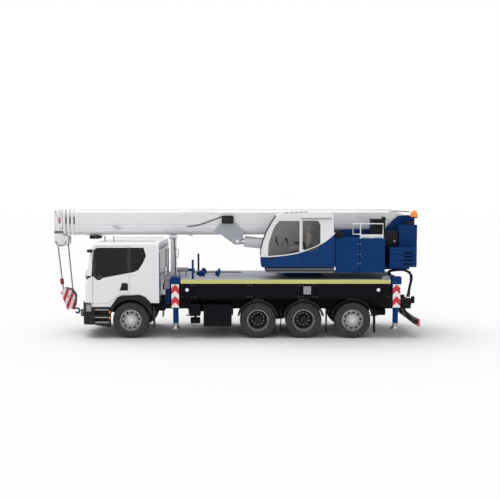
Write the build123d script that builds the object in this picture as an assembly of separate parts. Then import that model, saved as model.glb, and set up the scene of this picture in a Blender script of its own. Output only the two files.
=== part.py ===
"""Four-axle truck-mounted telescopic crane, stored for the road.

Millimetres. +X runs to the rear, +Z up, the driver's side is at -Y.
The origin is on the ground under the middle of the vehicle.
"""
import math
import os

from build123d import *

# Overall arrangement
AXLE_X = (-2934.0, 701.0, 2011.0, 3409.0)
HALF_WIDTH = 1270.0
SLEW_X = 2075.0

# Wheels and tyres
TYRE_R = 520.0
TYRE_WIDTH = 300.0
TYRE_OUTER_Y = 1195.0
TWIN_GAP = 40.0
RIM_R = 298.0
RIM_WALL = 14.0
BEAD_CLEAR = 0.3
SPINDLE_R = 45.0
RUNNING_CLEAR = 0.5

# Steering
KINGPIN_Y = 830.0
KINGPIN_R = 26.0
STEER_BOSS_R = 52.0
STEER_BOSS_HALF = 62.0
KINGPIN_CLEAR = 1.0
TURN_CLEAR_R = math.hypot(TYRE_R, TYRE_OUTER_Y - KINGPIN_Y) + 20.0

# Ladder frame
RAIL_Y = 430.0
RAIL_FLANGE = 90.0
RAIL_THICK = 10.0
RAIL_BOTTOM = 740.0
RAIL_TOP = 1040.0
RAIL_FRONT = -4180.0
RAIL_REAR = 5240.0
CROSS_HALF = 35.0

# Deck and skirts
DECK_TOP = 1700.0
DECK_THICK = 12.0
DECK_EDGE = 115.0
DECK_FRONT = -1495.0
DECK_REAR = 4465.0
SKIRT_BOTTOM = 1150.0
SKIRT_THICK = 45.0
SKIRT_GAP = 12.0

# Outriggers
BEAM_WIDTH = 190.0
BEAM_TOP = 1545.0
BEAM_BOTTOM = 1285.0
BEAM_CLEAR = 6.0
BEAM_WALL = 12.0
BEAM_TAIL = 1000.0
BOX_WALL = 14.0
BOX_END_Y = 1010.0
JACK_Y = 1120.0
JACK_R = 80.0
JACK_BORE_R = 61.0
JACK_ROD_R = 55.0
JACK_TUBE_BOTTOM = 448.0
HEAD_TOP = 1773.0
FOOT_BOTTOM = 272.0
FOOT_R = 150.0

# Carrier cab
CAB_REAR = -2115.0
CAB_ROOF = 2748.0
ROOF_SEAM = 2690.0
CAB_BOTTOM = 907.0
CAB_WALL = 50.0
CAB_FLOOR = 1340.0
CAB_FLOOR_THICK = 40.0
CAB_CORNER_R = 140.0
CAB_BULGE = 110.0
DOOR_GAP = 7.0
DOOR_FRONT = -4000.0
DOOR_REAR = -2960.0
HINGE_X = -3996.0
HINGE_Y = 1200.0
HINGE_PIN_R = 6.0
HINGE_HEIGHTS = (1380.0, 1650.0)
GLASS_THICK = 8.0
GLASS_INSET = 14.0
SEAM = 0.3

# Bumper and front fender
BUMPER_REAR = -3500.0
FENDER_LIP_R = 592.0
FENDER_LINER_R = 626.0
FENDER_THICK = 14.0

# Towing coupling
COUPLING_R = 24.0
COUPLING_WALL = 31.0

# Turntable
RING_R = 640.0
RING_SEAT_TOP = 1790.0
RING_CLEAR = 0.3
PLATFORM_BOTTOM = 1900.0
PLATFORM_TOP = 2040.0
CHEEK_INNER_Y = 312.0
CHEEK_THICK = 38.0

# Boom
BOOM_TOP = 3654.0
BOOM_BOTTOM = 2919.0
BOOM_HALF = 268.0
BOOM_WALL = 12.0
BOOM_GAP = 8.0
BOOM_BASE_REAR = 4622.0
BOOM_BASE_FRONT = -4650.0
COLLAR_PROUD = 8.0
PIVOT_X = 5040.0
PIVOT_Z = 3290.0
PIVOT_R = 60.0

# Winch and counterweight
WINCH = (5050.0, 2760.0)
WINCH_SHAFT_R = 40.0
BALLAST_BOTTOM = 2045.0
BALLAST_TOP = 2597.0
HOUSING_TOP = 3230.0

# Lift cylinder
LIFT_BASE_X = 3165.0
LIFT_BASE_Z = 2420.0
LIFT_EYE_X = 100.0
LIFT_EYE_Z = 2730.0
LIFT_PIN_R = 50.0
LIFT_BARREL_R = 165.0
LIFT_BORE_R = 132.0
LIFT_ROD_R = 95.0
LIFT_GLAND = 60.0
PISTON = (145.0, 215.0)
PISTON_CLEAR = 2.0

# Hook block
SHEAVE_X = -5157.0
SHEAVE_Z = 2745.0
SHEAVE_R = 148.0
ROPE_R = 9.0
FALL_Y = (-40.0, 40.0)
HOOK_X = -4985.0
HOOK_Z = 985.0
HOOK_TILT = -20.0
BLOCK_SHEAVE_R = 140.0

NODES = {}


def block(x0, x1, y0, y1, z0, z1):
    """Box between two corners."""
    centre = ((x0 + x1) / 2, (y0 + y1) / 2, (z0 + z1) / 2)
    return Pos(*centre) * Box(abs(x1 - x0), abs(y1 - y0), abs(z1 - z0))


def plate_xz(points, y0, y1):
    """Plate with an X-Z outline, from y0 to y1."""
    face = make_face(Polyline(*[(x, y0, z) for x, z in points], close=True))
    return extrude(face, amount=y1 - y0, dir=(0, 1, 0))


def plate_yz(points, x0, x1):
    """Plate with a Y-Z outline, from x0 to x1."""
    face = make_face(Polyline(*[(x0, y, z) for y, z in points], close=True))
    return extrude(face, amount=x1 - x0, dir=(1, 0, 0))


def plate_xy(points, z0, z1):
    """Plate with an X-Y outline, from z0 to z1."""
    face = make_face(Polyline(*[(x, y, z0) for x, y in points], close=True))
    return extrude(face, amount=z1 - z0, dir=(0, 0, 1))


def rod_y(x, z, radius, y0, y1):
    """Round bar along Y."""
    return Pos(x, (y0 + y1) / 2, z) * (Rot(90, 0, 0) * Cylinder(radius, abs(y1 - y0)))


def rod_x(y, z, radius, x0, x1):
    """Round bar along X."""
    return Pos((x0 + x1) / 2, y, z) * (Rot(0, 90, 0) * Cylinder(radius, abs(x1 - x0)))


def rod_z(x, y, radius, z0, z1):
    """Round bar along Z."""
    return Pos(x, y, (z0 + z1) / 2) * Cylinder(radius, z1 - z0)


def bar(start, end, radius):
    """Round bar between two points."""
    axis = Vector(*end) - Vector(*start)
    plane = Plane(origin=start, z_dir=axis)
    return extrude(plane * Circle(radius), amount=axis.length)


def turned_y(profile, x, z, side):
    """Solid of revolution about a Y axis. The profile lists (distance outboard, radius)."""
    face = make_face(Polyline(*[(x, side * y, z + r) for y, r in profile], close=True))
    return revolve(face, axis=Axis((x, 0, z), (0, 1, 0)))


def group(*shapes):
    """Several solids that don't touch, kept as one node."""
    return Compound([solid for shape in shapes for solid in shape.solids()])


def mirrored(shape):
    """The same piece on the other side."""
    return mirror(shape, about=Plane.XZ)


def both_sides(shape):
    """A piece and its mirror image as separate solids."""
    return group(shape, mirrored(shape))


def inset_outline(points, inset):
    """Convex outline, anticlockwise, moved inwards by inset."""
    moved = []
    count = len(points)
    for i in range(count):
        (ax, ay), (bx, by), (cx, cy) = points[i - 1], points[i], points[(i + 1) % count]
        ux, uy = bx - ax, by - ay
        vx, vy = cx - bx, cy - by
        ul, vl = math.hypot(ux, uy), math.hypot(vx, vy)
        p = (ax - uy / ul * inset, ay + ux / ul * inset)
        q = (bx - vy / vl * inset, by + vx / vl * inset)
        cross = ux * vy - uy * vx
        t = ((q[0] - p[0]) * vy - (q[1] - p[1]) * vx) / cross
        moved.append((p[0] + ux * t, p[1] + uy * t))
    return moved


# Wheels

# name, axle, side, twin
WHEELS = [
    ("wheel_1_left", 0, -1, False),
    ("wheel_1_right", 0, 1, False),
    ("wheel_2_left", 1, -1, True),
    ("wheel_2_right", 1, 1, True),
    ("wheel_3_left", 2, -1, True),
    ("wheel_3_right", 2, 1, True),
    ("wheel_4_left", 3, -1, False),
    ("wheel_4_right", 3, 1, False),
]


def tyre_profile(outer_y):
    """Half section of a tyre as (distance outboard, radius)."""
    inner_y = outer_y - TYRE_WIDTH
    seat = RIM_R + BEAD_CLEAR
    return [
        (inner_y + 42, seat),
        (inner_y, seat + 95),
        (inner_y + 14, TYRE_R - 26),
        (inner_y + 34, TYRE_R),
        (outer_y - 34, TYRE_R),
        (outer_y - 14, TYRE_R - 26),
        (outer_y, seat + 95),
        (outer_y - 42, seat),
    ]


def rim_ring(outer_y):
    """Rim well with its two flanges, as (distance outboard, radius)."""
    inner_y = outer_y - TYRE_WIDTH
    return [
        (inner_y + 41, RIM_R),
        (outer_y - 41, RIM_R),
        (outer_y - 41, RIM_R - RIM_WALL),
        (inner_y + 41, RIM_R - RIM_WALL),
    ]


def steer_wheel(x, z, side):
    """Single wheel with a full face that stands out towards the hub."""
    face_y = TYRE_OUTER_Y - 95
    disc = turned_y(
        [
            (face_y - 60, RIM_R - RIM_WALL / 2),
            (face_y - 20, RIM_R - RIM_WALL / 2),
            (face_y + 30, 180),
            (face_y + 30, SPINDLE_R + RUNNING_CLEAR),
            (face_y + 14, SPINDLE_R + RUNNING_CLEAR),
            (face_y + 14, 172),
        ],
        x, z, side,
    )
    hub = turned_y(
        [
            (face_y + 29, 105),
            (face_y + 62, 95),
            (face_y + 72, 60),
            (face_y + 72, 0),
            (face_y + 50, 0),
            (face_y + 50, SPINDLE_R + 4),
            (face_y + 29, SPINDLE_R + 4),
        ],
        x, z, side,
    )
    rim = turned_y(rim_ring(TYRE_OUTER_Y), x, z, side) + disc + hub
    return group(turned_y(tyre_profile(TYRE_OUTER_Y), x, z, side), rim)


def twin_wheel(x, z, side):
    """Two tyres on dished rims, bolted back to back round a reduction hub."""
    inner_tyre_y = TYRE_OUTER_Y - TYRE_WIDTH - TWIN_GAP
    disc_y = inner_tyre_y + TWIN_GAP / 2
    outer_dish = turned_y(
        [
            (TYRE_OUTER_Y - 115, RIM_R - RIM_WALL / 2),
            (TYRE_OUTER_Y - 90, RIM_R - RIM_WALL / 2),
            (disc_y + 25, 188),
            (disc_y + 20, 160),
            (disc_y, 160),
            (disc_y, 192),
        ],
        x, z, side,
    )
    inner_dish = turned_y(
        [
            (inner_tyre_y - 110, RIM_R - RIM_WALL / 2),
            (inner_tyre_y - 60, RIM_R - RIM_WALL / 2),
            (disc_y + 1, 190),
            (disc_y + 1, 160),
            (disc_y - 20, 160),
        ],
        x, z, side,
    )
    hub = turned_y(
        [
            (disc_y - 60, SPINDLE_R + RUNNING_CLEAR),
            (disc_y - 60, 170),
            (disc_y + 150, 170),
            (disc_y + 190, 145),
            (disc_y + 215, 80),
            (disc_y + 215, 0),
            (disc_y + 190, 0),
            (disc_y + 190, SPINDLE_R + RUNNING_CLEAR),
        ],
        x, z, side,
    )
    rim = (
        turned_y(rim_ring(TYRE_OUTER_Y), x, z, side)
        + turned_y(rim_ring(inner_tyre_y), x, z, side)
        + outer_dish
        + inner_dish
        + hub
    )
    tyres = [turned_y(tyre_profile(y), x, z, side) for y in (TYRE_OUTER_Y, inner_tyre_y)]
    return group(rim, *tyres)


def make_wheels():
    for name, axle, side, twin in WHEELS:
        build = twin_wheel if twin else steer_wheel
        NODES[name] = build(AXLE_X[axle], TYRE_R, side)


def knuckle(x, side):
    """Steering knuckle: a fork round the axle's boss, and the wheel's spindle."""
    z = TYRE_R
    fork_in = KINGPIN_Y - STEER_BOSS_R
    web_in = KINGPIN_Y + STEER_BOSS_R + 6
    web_out = web_in + 45
    lug_gap = STEER_BOSS_HALF + 5
    body = block(x - 60, x + 60, web_in, web_out, z - 130, z + 130)
    for sign in (-1, 1):
        low = min(sign * lug_gap, sign * 130)
        high = max(sign * lug_gap, sign * 130)
        body += block(x - 48, x + 48, fork_in, web_in + 5, z + low, z + high)
    body += rod_z(x, KINGPIN_Y, KINGPIN_R, z - 100, z + 100)
    body += rod_y(x, z, 150, web_out - 5, web_out + 40)
    body += rod_y(x, z, SPINDLE_R, web_out, TYRE_OUTER_Y - 50)
    body += block(x + 40, x + 230, fork_in, fork_in + 40, z - 130, z - 90)
    return body if side > 0 else mirrored(body)


# Axles and springs

def leaf_spring(x, half, base_z):
    """Leaf pack under one rail, in steps, with the clamp plate."""
    pack = block(x - half, x + half, RAIL_Y - 80, RAIL_Y, base_z, base_z + 22)
    for step in (1, 2, 3):
        reach = half * (1 - step * 0.2)
        low = base_z - 22 * step
        pack += block(x - reach, x + reach, RAIL_Y - 80, RAIL_Y, low, low + 23)
    return pack


def steer_axle(x):
    """Dropped I-beam with a boss for each kingpin."""
    z = TYRE_R
    low = z - 120
    beam = block(x - 45, x + 45, -640, 640, low, low + 90)
    half = plate_yz(
        [(600, low), (690, low), (KINGPIN_Y - 60, z - 50), (KINGPIN_Y - 20, z - 50),
         (KINGPIN_Y - 20, z + 50),
         (750, z + 50), (600, low + 90)],
        x - 45, x + 45,
    )
    half += rod_z(x, KINGPIN_Y, STEER_BOSS_R, z - STEER_BOSS_HALF, z + STEER_BOSS_HALF)
    half -= rod_z(x, KINGPIN_Y, KINGPIN_R + KINGPIN_CLEAR, z - 100, z + 100)
    half += leaf_spring(x, 620, 600)
    half += block(x - 70, x + 70, RAIL_Y - 85, RAIL_Y + 5, low + 60, 556)
    return beam + half + mirrored(half)


def drive_axle(x):
    """Axle tube with its differential, and a spindle at each end."""
    z = TYRE_R
    tube = rod_y(x, z, 78, -545, 545)
    tube += Pos(x, 0, z) * Sphere(215)
    tube += rod_x(0, z, 95, x - 300, x)
    half = rod_y(x, z, SPINDLE_R, 540, 1010)
    half += leaf_spring(x, 520, 676)
    half += block(x - 70, x + 70, RAIL_Y - 85, RAIL_Y + 5, z, 640)
    return tube + half + mirrored(half)


def make_axles():
    NODES["axles"] = group(
        steer_axle(AXLE_X[0]),
        drive_axle(AXLE_X[1]),
        drive_axle(AXLE_X[2]),
        steer_axle(AXLE_X[3]),
    )
    for axle in (0, 3):
        for side, word in ((-1, "left"), (1, "right")):
            NODES[f"knuckle_{axle + 1}_{word}"] = knuckle(AXLE_X[axle], side)


# Chassis

# x position of each cross member
CROSS_X = (-4100.0, -2000.0, -500.0, 1350.0, 2700.0, 4150.0, 5190.0)
# x of the axle, half length of its spring, foot of the hanger
HANGERS = [(AXLE_X[0], 620, 622), (AXLE_X[3], 620, 622), (AXLE_X[1], 520, 698), (AXLE_X[2], 520, 698)]


def channel_rail():
    """One rail of C section, open to the inside."""
    web = block(RAIL_FRONT, RAIL_REAR, RAIL_Y - RAIL_THICK, RAIL_Y, RAIL_BOTTOM, RAIL_TOP)
    for low in (RAIL_BOTTOM, RAIL_TOP - RAIL_THICK):
        web += block(RAIL_FRONT, RAIL_REAR, RAIL_Y - RAIL_FLANGE, RAIL_Y, low, low + RAIL_THICK)
    return web


def make_chassis():
    half = channel_rail()
    for x, reach, top in HANGERS:
        for end in (-1, 1):
            place = x + end * (reach - 60)
            half += block(place - 40, place + 40, RAIL_Y - 80, RAIL_Y, top, RAIL_BOTTOM + 5)
    for x in (-3950.0, -2300.0):
        half += block(x - 60, x + 60, RAIL_Y - RAIL_FLANGE, RAIL_Y, RAIL_TOP - 5,
                      CAB_FLOOR - CAB_FLOOR_THICK)
    frame = half + mirrored(half)
    for x in CROSS_X:
        frame += block(x - CROSS_HALF, x + CROSS_HALF, -RAIL_Y + 5, RAIL_Y - 5, RAIL_BOTTOM + 40, RAIL_TOP - 40)
    box_top = DECK_TOP - DECK_THICK
    frame += plate_xz(
        [(-1900, RAIL_TOP), (4850, RAIL_TOP), (4850, BEAM_BOTTOM - BEAM_CLEAR - BOX_WALL),
         (4190, BEAM_BOTTOM - BEAM_CLEAR - BOX_WALL), (4190, box_top), (-1200, box_top),
         (-1200, BEAM_BOTTOM - BEAM_CLEAR - BOX_WALL), (-1900, BEAM_BOTTOM - BEAM_CLEAR - BOX_WALL)],
        -RAIL_Y, RAIL_Y,
    )
    for x in (-1000.0, 0.0, 1000.0, 3150.0, 4100.0):
        frame += plate_yz(
            [(-1215, box_top), (-1215, box_top - 90), (-RAIL_Y, RAIL_TOP + 120),
             (RAIL_Y, RAIL_TOP + 120), (1215, box_top - 90), (1215, box_top)],
            x - 8, x + 8,
        )
    frame += rod_z(SLEW_X, 0, RING_R + 30, box_top - 60, DECK_TOP + 30)
    frame += rod_z(SLEW_X, 0, RING_R - 20, DECK_TOP, RING_SEAT_TOP)
    NODES["chassis_frame"] = frame

    NODES["engine"] = group(
        block(-3880, -2750, -330, 330, 640, 1440)
        + block(-2752, -2080, -210, 210, 640, 1010)
        + block(-3620, -3500, -RAIL_Y + RAIL_THICK, RAIL_Y - RAIL_THICK, 850, 900)
    )


# Outriggers

# name, side, x of the beam
OUTRIGGERS = [
    ("front_left", -1, -1650.0),
    ("front_right", 1, -1420.0),
    ("rear_left", -1, 4640.0),
    ("rear_right", 1, 4410.0),
]


def make_outriggers():
    boxes = []
    half = BEAM_WIDTH / 2
    clear_half = half + BEAM_CLEAR
    low = BEAM_BOTTOM - BEAM_CLEAR
    high = BEAM_TOP + BEAM_CLEAR
    for a, b in ((OUTRIGGERS[0][2], OUTRIGGERS[1][2]), (OUTRIGGERS[3][2], OUTRIGGERS[2][2])):
        shell = block(a - clear_half - BOX_WALL, b + clear_half + BOX_WALL,
                      -BOX_END_Y, BOX_END_Y, low - BOX_WALL, high + BOX_WALL)
        for x in (a, b):
            shell -= block(x - clear_half, x + clear_half, -BOX_END_Y - 1, BOX_END_Y + 1, low, high)
        for x, side in ((a, -1 if a < 0 else 1), (b, 1 if a < 0 else -1)):
            y0, y1 = sorted((side * (BOX_END_Y - 90), side * BOX_END_Y))
            shell += block(x - 60, x + 60, y0, y1, low - 1, BEAM_BOTTOM - SEAM)
        boxes.append(shell)
    NODES["outrigger_boxes"] = group(*boxes)

    for name, side, x in OUTRIGGERS:
        beam = block(x - half, x + half, -BEAM_TAIL, JACK_Y - 10, BEAM_BOTTOM, BEAM_TOP)
        beam -= block(x - half + BEAM_WALL, x + half - BEAM_WALL, -BEAM_TAIL - 1, BOX_END_Y - 60,
                      BEAM_BOTTOM + BEAM_WALL, BEAM_TOP - BEAM_WALL)
        beam += rod_z(x, JACK_Y, JACK_R, JACK_TUBE_BOTTOM, BEAM_TOP + 40)
        beam += block(x - 134, x + 134, JACK_Y - 88, HALF_WIDTH, BEAM_TOP + 20, HEAD_TOP)
        beam -= rod_z(x, JACK_Y, JACK_BORE_R, JACK_TUBE_BOTTOM - 1, BEAM_TOP + 30)
        beam += block(x - 107, x + 107, HALF_WIDTH - 16, HALF_WIDTH, 900, BEAM_TOP + 21)
        for low in (960.0, 1400.0):
            beam += block(x - 30, x + 30, JACK_Y + JACK_BORE_R + 6, HALF_WIDTH - 15, low, low + 60)
        gland = rod_z(x, JACK_Y, JACK_R, JACK_TUBE_BOTTOM, JACK_TUBE_BOTTOM + 40)
        gland -= rod_z(x, JACK_Y, JACK_ROD_R + SEAM, JACK_TUBE_BOTTOM - 1, JACK_TUBE_BOTTOM + 41)
        beam += gland
        jack = rod_z(x, JACK_Y, JACK_ROD_R, FOOT_BOTTOM + 60, BEAM_TOP - 20)
        jack += rod_z(x, JACK_Y, 78, FOOT_BOTTOM + 60, JACK_TUBE_BOTTOM - 8)
        jack += Pos(x, JACK_Y, FOOT_BOTTOM + 45) * Cone(FOOT_R - 20, 80, 50)
        jack += rod_z(x, JACK_Y, FOOT_R, FOOT_BOTTOM, FOOT_BOTTOM + 24)
        NODES[f"beam_{name}"] = beam if side > 0 else mirrored(beam)
        NODES[f"jack_{name}"] = jack if side > 0 else mirrored(jack)


# Deck, skirts and side boxes

# rear edge of each skirt panel
SKIRT_SEAMS = (-1130.0, 470.0, 1920.0, 2330.0)


def make_deck():
    outer = HALF_WIDTH
    ends = 1020.0
    sheet = plate_xy(
        [(-2060, -ends), (DECK_FRONT, -ends), (DECK_FRONT, -outer), (DECK_REAR, -outer),
         (DECK_REAR, -ends), (4790, -ends), (4790, ends), (DECK_REAR, ends), (DECK_REAR, outer),
         (DECK_FRONT, outer), (DECK_FRONT, ends), (-2060, ends)],
        DECK_TOP - DECK_THICK, DECK_TOP,
    )
    for side in (-1, 1):
        inner = outer - SKIRT_THICK
        sheet += block(DECK_FRONT, DECK_REAR, side * inner, side * outer,
                       DECK_TOP - DECK_EDGE, DECK_TOP - 1)
    sheet -= rod_z(SLEW_X, 0, RING_R + 36, DECK_TOP - 50, DECK_TOP + 50)
    for side, x in ((1, OUTRIGGERS[1][2]), (1, OUTRIGGERS[3][2])):
        sheet -= block(x - 145, x + 145, side * (JACK_Y - 100), side * (outer + 1), 1500, DECK_TOP + 5)
    NODES["deck"] = sheet

    panels = []
    top = DECK_TOP - DECK_EDGE
    edges = (DECK_FRONT, *SKIRT_SEAMS, DECK_REAR)
    for low, high in zip(edges, edges[1:]):
        panel = block(low + SKIRT_GAP / 2, high - SKIRT_GAP / 2,
                      -HALF_WIDTH, -HALF_WIDTH + SKIRT_THICK, SKIRT_BOTTOM, top)
        panels.append(panel)
    left = group(*panels)
    right = []
    for solid in mirrored(left).solids():
        for _, side, x in OUTRIGGERS:
            if side > 0:
                solid = solid - block(x - 145, x + 145, 1080, 1300, 1000, 1700)
        right.append(solid)
    NODES["skirts"] = group(left, *right)


# axle, inner radius, thickness
REAR_FENDERS = [(1, 545.0, 50.0), (2, 545.0, 50.0), (3, 590.0, 22.0)]


def fender_band(x, inner, thick):
    """Half ring over a wheel with a saddle up to the skirt."""
    z = TYRE_R
    inner_y = 860.0
    outer_y = 1235.0
    ring = rod_y(x, z, inner + thick, inner_y, outer_y) - rod_y(x, z, inner, inner_y - 1, outer_y + 1)
    ring -= block(x - 900, x + 900, inner_y - 2, outer_y + 2, z - 900, z + 130)
    saddle = block(x - 160, x + 160, inner_y, outer_y, z + inner, SKIRT_BOTTOM)
    saddle -= rod_y(x, z, inner + 1, inner_y - 1, outer_y + 1)
    bracket = block(x - 30, x + 30, RAIL_Y, inner_y + 10, z + inner - 4 + thick / 2, SKIRT_BOTTOM - 12)
    bracket -= rod_y(x, z, inner + 1, RAIL_Y - 1, outer_y + 1)
    return ring + saddle + bracket


# x and z of the outline of the front fender, from its front lower corner
FENDER_OUTLINE = [
    (-3503, CAB_BOTTOM), (-3313, 1183), (-3170, 1242), (-2657, 1255), (-2516, 1197),
    (-2375, 1054), (-2352, 1022),
]


def make_mudguards():
    x, z = AXLE_X[0], TYRE_R
    outline = [(BUMPER_REAR + SEAM, 700)] + [(px + (6 if px < x else -6), pz - 5) for px, pz in FENDER_OUTLINE]
    outline += [(-2340, 930), (-2300, 700)]
    front = plate_xz(outline, 1150, 1236)
    liner = rod_y(x, z, FENDER_LINER_R + FENDER_THICK, 500, 1152)
    liner -= block(x - 900, x + 900, 400, 1300, z - 900, z + 392)
    liner += block(x - 50, x + 50, RAIL_Y, 520, z + FENDER_LINER_R, z + FENDER_LINER_R + 30)
    front += liner
    front -= rod_y(x, z, FENDER_LIP_R, 1140, 1300)
    front -= rod_y(x, z, FENDER_LINER_R, 400, 1145)
    flap = block(-2292, -2272, 880, 1200, 260, 900)
    flap += block(-2292, -2272, 1150, 1236, 690, 930)
    flap += block(-2310, -2272, RAIL_Y, 1000, 800, 850)
    front += flap
    parts = [front]
    for axle, inner, thick in REAR_FENDERS:
        parts.append(fender_band(AXLE_X[axle], inner, thick))
    for place in (1360.0, 2668.0, 4048.0):
        parts.append(
            block(place - 8, place + 8, 880, 1215, 150, 830)
            + block(place - 8, place + 8, RAIL_Y, 1000, 800, 860)
        )
    NODES["mudguards"] = both_sides(group(*parts))


def make_side_boxes():
    fuel = block(-850, -60, 640, HALF_WIDTH - 20, 345, 985)
    fuel = fillet(fuel.edges().filter_by(Axis.X), 60)
    fuel += block(-780, -700, RAIL_Y, 650, 800, 960) + block(-210, -130, RAIL_Y, 650, 800, 960)
    small = block(-1240, -955, 760, HALF_WIDTH - 40, 648, 992) + block(-1200, -1000, RAIL_Y, 770, 800, 900)
    reservoir = rod_x(1050, 500, 90, -1230, -960) + block(-1130, -1060, 1010, 1090, 570, 655)
    left = group(fuel, small + reservoir)
    air_tank = rod_x(700, 700, 110, 4080, 4420) + block(4200, 4260, RAIL_Y, 620, 680, 780)
    NODES["side_tanks"] = both_sides(group(left, air_tank))


# Carrier cab

# height, front on the centre line, half width
CAB_LEVELS = [
    (CAB_BOTTOM, -4322.0, 1205.0),
    (1700.0, -4335.0, 1210.0),
    (2560.0, -4190.0, 1185.0),
    (2690.0, -4110.0, 1165.0),
    (CAB_ROOF, -3960.0, 1120.0),
]


def cab_size_at(z):
    """Front and half width of the cab at a height, between the listed levels."""
    for (z0, x0, w0), (z1, x1, w1) in zip(CAB_LEVELS, CAB_LEVELS[1:]):
        if z <= z1:
            t = (z - z0) / (z1 - z0)
            return x0 + (x1 - x0) * t, w0 + (w1 - w0) * t
    return CAB_LEVELS[-1][1:]


def cab_section(z, inset, at=None):
    """Plan outline of the cab at a height: bowed front, round corners, flat back."""
    front, half = cab_size_at(z if at is None else at)
    front += inset
    half -= inset
    rear = CAB_REAR - inset
    r = CAB_CORNER_R - inset / 2
    start = front + CAB_BULGE
    bend = r * (1 - math.sqrt(0.5))
    edges = [
        Line((rear, -half, z), (start + r, -half, z)),
        ThreePointArc((start + r, -half, z), (start + bend, -half + bend, z), (start, -half + r, z)),
        ThreePointArc((start, -half + r, z), (front, 0, z), (start, half - r, z)),
        ThreePointArc((start, half - r, z), (start + bend, half - bend, z), (start + r, half, z)),
        Line((start + r, half, z), (rear, half, z)),
        Line((rear, half, z), (rear, -half, z)),
    ]
    return make_face(Wire(edges))


def cab_solid(levels, inset):
    """Ruled solid through the cab's outline at each height."""
    return loft([cab_section(z, inset, at) for z, at in levels], ruled=True)


# x and y of a wrap-round headlamp
HEADLAMP = [
    (-4375, 800), (-4270, 1190), (-4050, 1236), (-4050, 1216), (-4200, 1188), (-4238, 1142),
    (-4330, 800),
][::-1]
DOOR_OUTLINE = [
    (DOOR_FRONT, 1010), (-3560, 1010), (-3325, 1225), (-3180, 1290), (DOOR_REAR, 1290),
    (DOOR_REAR, 2640), (-3900, 2640), (DOOR_FRONT, 2480),
]
DOOR_WINDOW = [
    (-3915, 1720), (-3700, 1750), (-3010, 1885), (-3010, 2590), (-3860, 2590), (-3925, 2480),
]
REAR_WINDOW = [
    (-2905, 1895), (-2826, 1912), (-2701, 1975), (-2573, 2165), (-2490, 2366), (-2552, 2590),
    (-2905, 2590),
]
WINDSCREEN = [(-1040, 1745), (1040, 1745), (1000, 2540), (-1000, 2540)]


def make_carrier_cab():
    levels = [(z, z) for z, _, _ in CAB_LEVELS]
    outer = cab_solid(levels, 0)
    roof_inner = CAB_ROOF - CAB_WALL
    room = cab_solid([(CAB_FLOOR, CAB_FLOOR), (1700, 1700), (2560, 2560), (roof_inner, 2670)], CAB_WALL)
    under = cab_solid([(CAB_BOTTOM - 5, CAB_BOTTOM), (CAB_FLOOR - CAB_FLOOR_THICK, CAB_FLOOR)], CAB_WALL)
    tunnel = block(-4230, CAB_REAR - 20, -400, 400, CAB_FLOOR - 5, 1500)
    shell = outer - room - under + tunnel
    shell -= block(-4280, CAB_REAR + 5, -365, 365, CAB_FLOOR - 80, 1465)
    shell -= block(-2360, CAB_REAR + 5, -1300, 1300, 800, 1022)
    shell -= block(CAB_REAR - 80, CAB_REAR + 5, -600, 600, 800, 1060)
    hollow = cab_solid(
        [(CAB_BOTTOM - 5, CAB_BOTTOM), (1700, 1700), (2560, 2560), (roof_inner, 2670)], CAB_WALL
    )
    for sign in (-1, 1):
        y0, y1 = sorted((sign * 1100, sign * 1260))
        shell -= plate_xz([(-3503, 800)] + FENDER_OUTLINE + [(-2352, 800)], y0, y1)
        shell -= plate_xz(inset_outline(DOOR_OUTLINE, -DOOR_GAP), y0, y1)
        shell -= block(DOOR_FRONT - 13, DOOR_FRONT, y0, y1, 1003, 2487)
        shell -= plate_xz(REAR_WINDOW, y0, y1)
        for z in HINGE_HEIGHTS:
            lug = block(DOOR_FRONT - 22, HINGE_X, HINGE_Y - 7, HINGE_Y + 7, z - 20, z + 20)
            lug += rod_z(HINGE_X, HINGE_Y, HINGE_PIN_R, z - 50, z + 50)
            shell += lug if sign > 0 else mirrored(lug)
    shell -= plate_yz(WINDSCREEN, -4400, -3900)
    shell -= plate_yz([(-700, 1900), (700, 1900), (700, 2450), (-700, 2450)], CAB_REAR - 80, CAB_REAR + 5)
    NODES["cab_shell"] = group(
        shell & block(-4500, -2000, -1300, 1300, 800, ROOF_SEAM),
        shell & block(-4500, -2000, -1300, 1300, ROOF_SEAM + SEAM, CAB_ROOF + 1),
    )

    pane = (
        cab_solid(levels[:4], GLASS_INSET) - cab_solid(levels[:4], GLASS_INSET + GLASS_THICK)
    )
    glass = [pane & plate_yz(inset_outline(WINDSCREEN, SEAM), -4400, -3850)]
    for sign in (-1, 1):
        y0, y1 = sorted((sign * 1100, sign * 1260))
        glass.append(pane & plate_xz(inset_outline(REAR_WINDOW, SEAM), y0, y1))
    glass.append(block(CAB_REAR - 30, CAB_REAR - 22, -700 + SEAM, 700 - SEAM, 1900 + SEAM, 2450 - SEAM))
    NODES["cab_glass"] = group(*glass)

    leaf = (outer - hollow) & plate_xz(DOOR_OUTLINE, 1100, 1260)
    leaf -= plate_xz(DOOR_WINDOW, 1100, 1260)
    for z in HINGE_HEIGHTS:
        leaf -= rod_z(HINGE_X, HINGE_Y, 18, z - 27, z + 27)
        leaf -= rod_z(HINGE_X, HINGE_Y, HINGE_PIN_R + RUNNING_CLEAR, z - 52, z + 52)
    handle = plate_xz([(-3205, 1440), (-3025, 1470), (-3025, 1590), (-3170, 1590)], 1195, 1232)
    leaf += handle
    window = pane & plate_xz(inset_outline(DOOR_WINDOW, SEAM), 1100, 1260)
    NODES["cab_door_right"] = group(leaf, window)
    NODES["cab_door_left"] = group(mirrored(leaf), mirrored(window))


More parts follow.
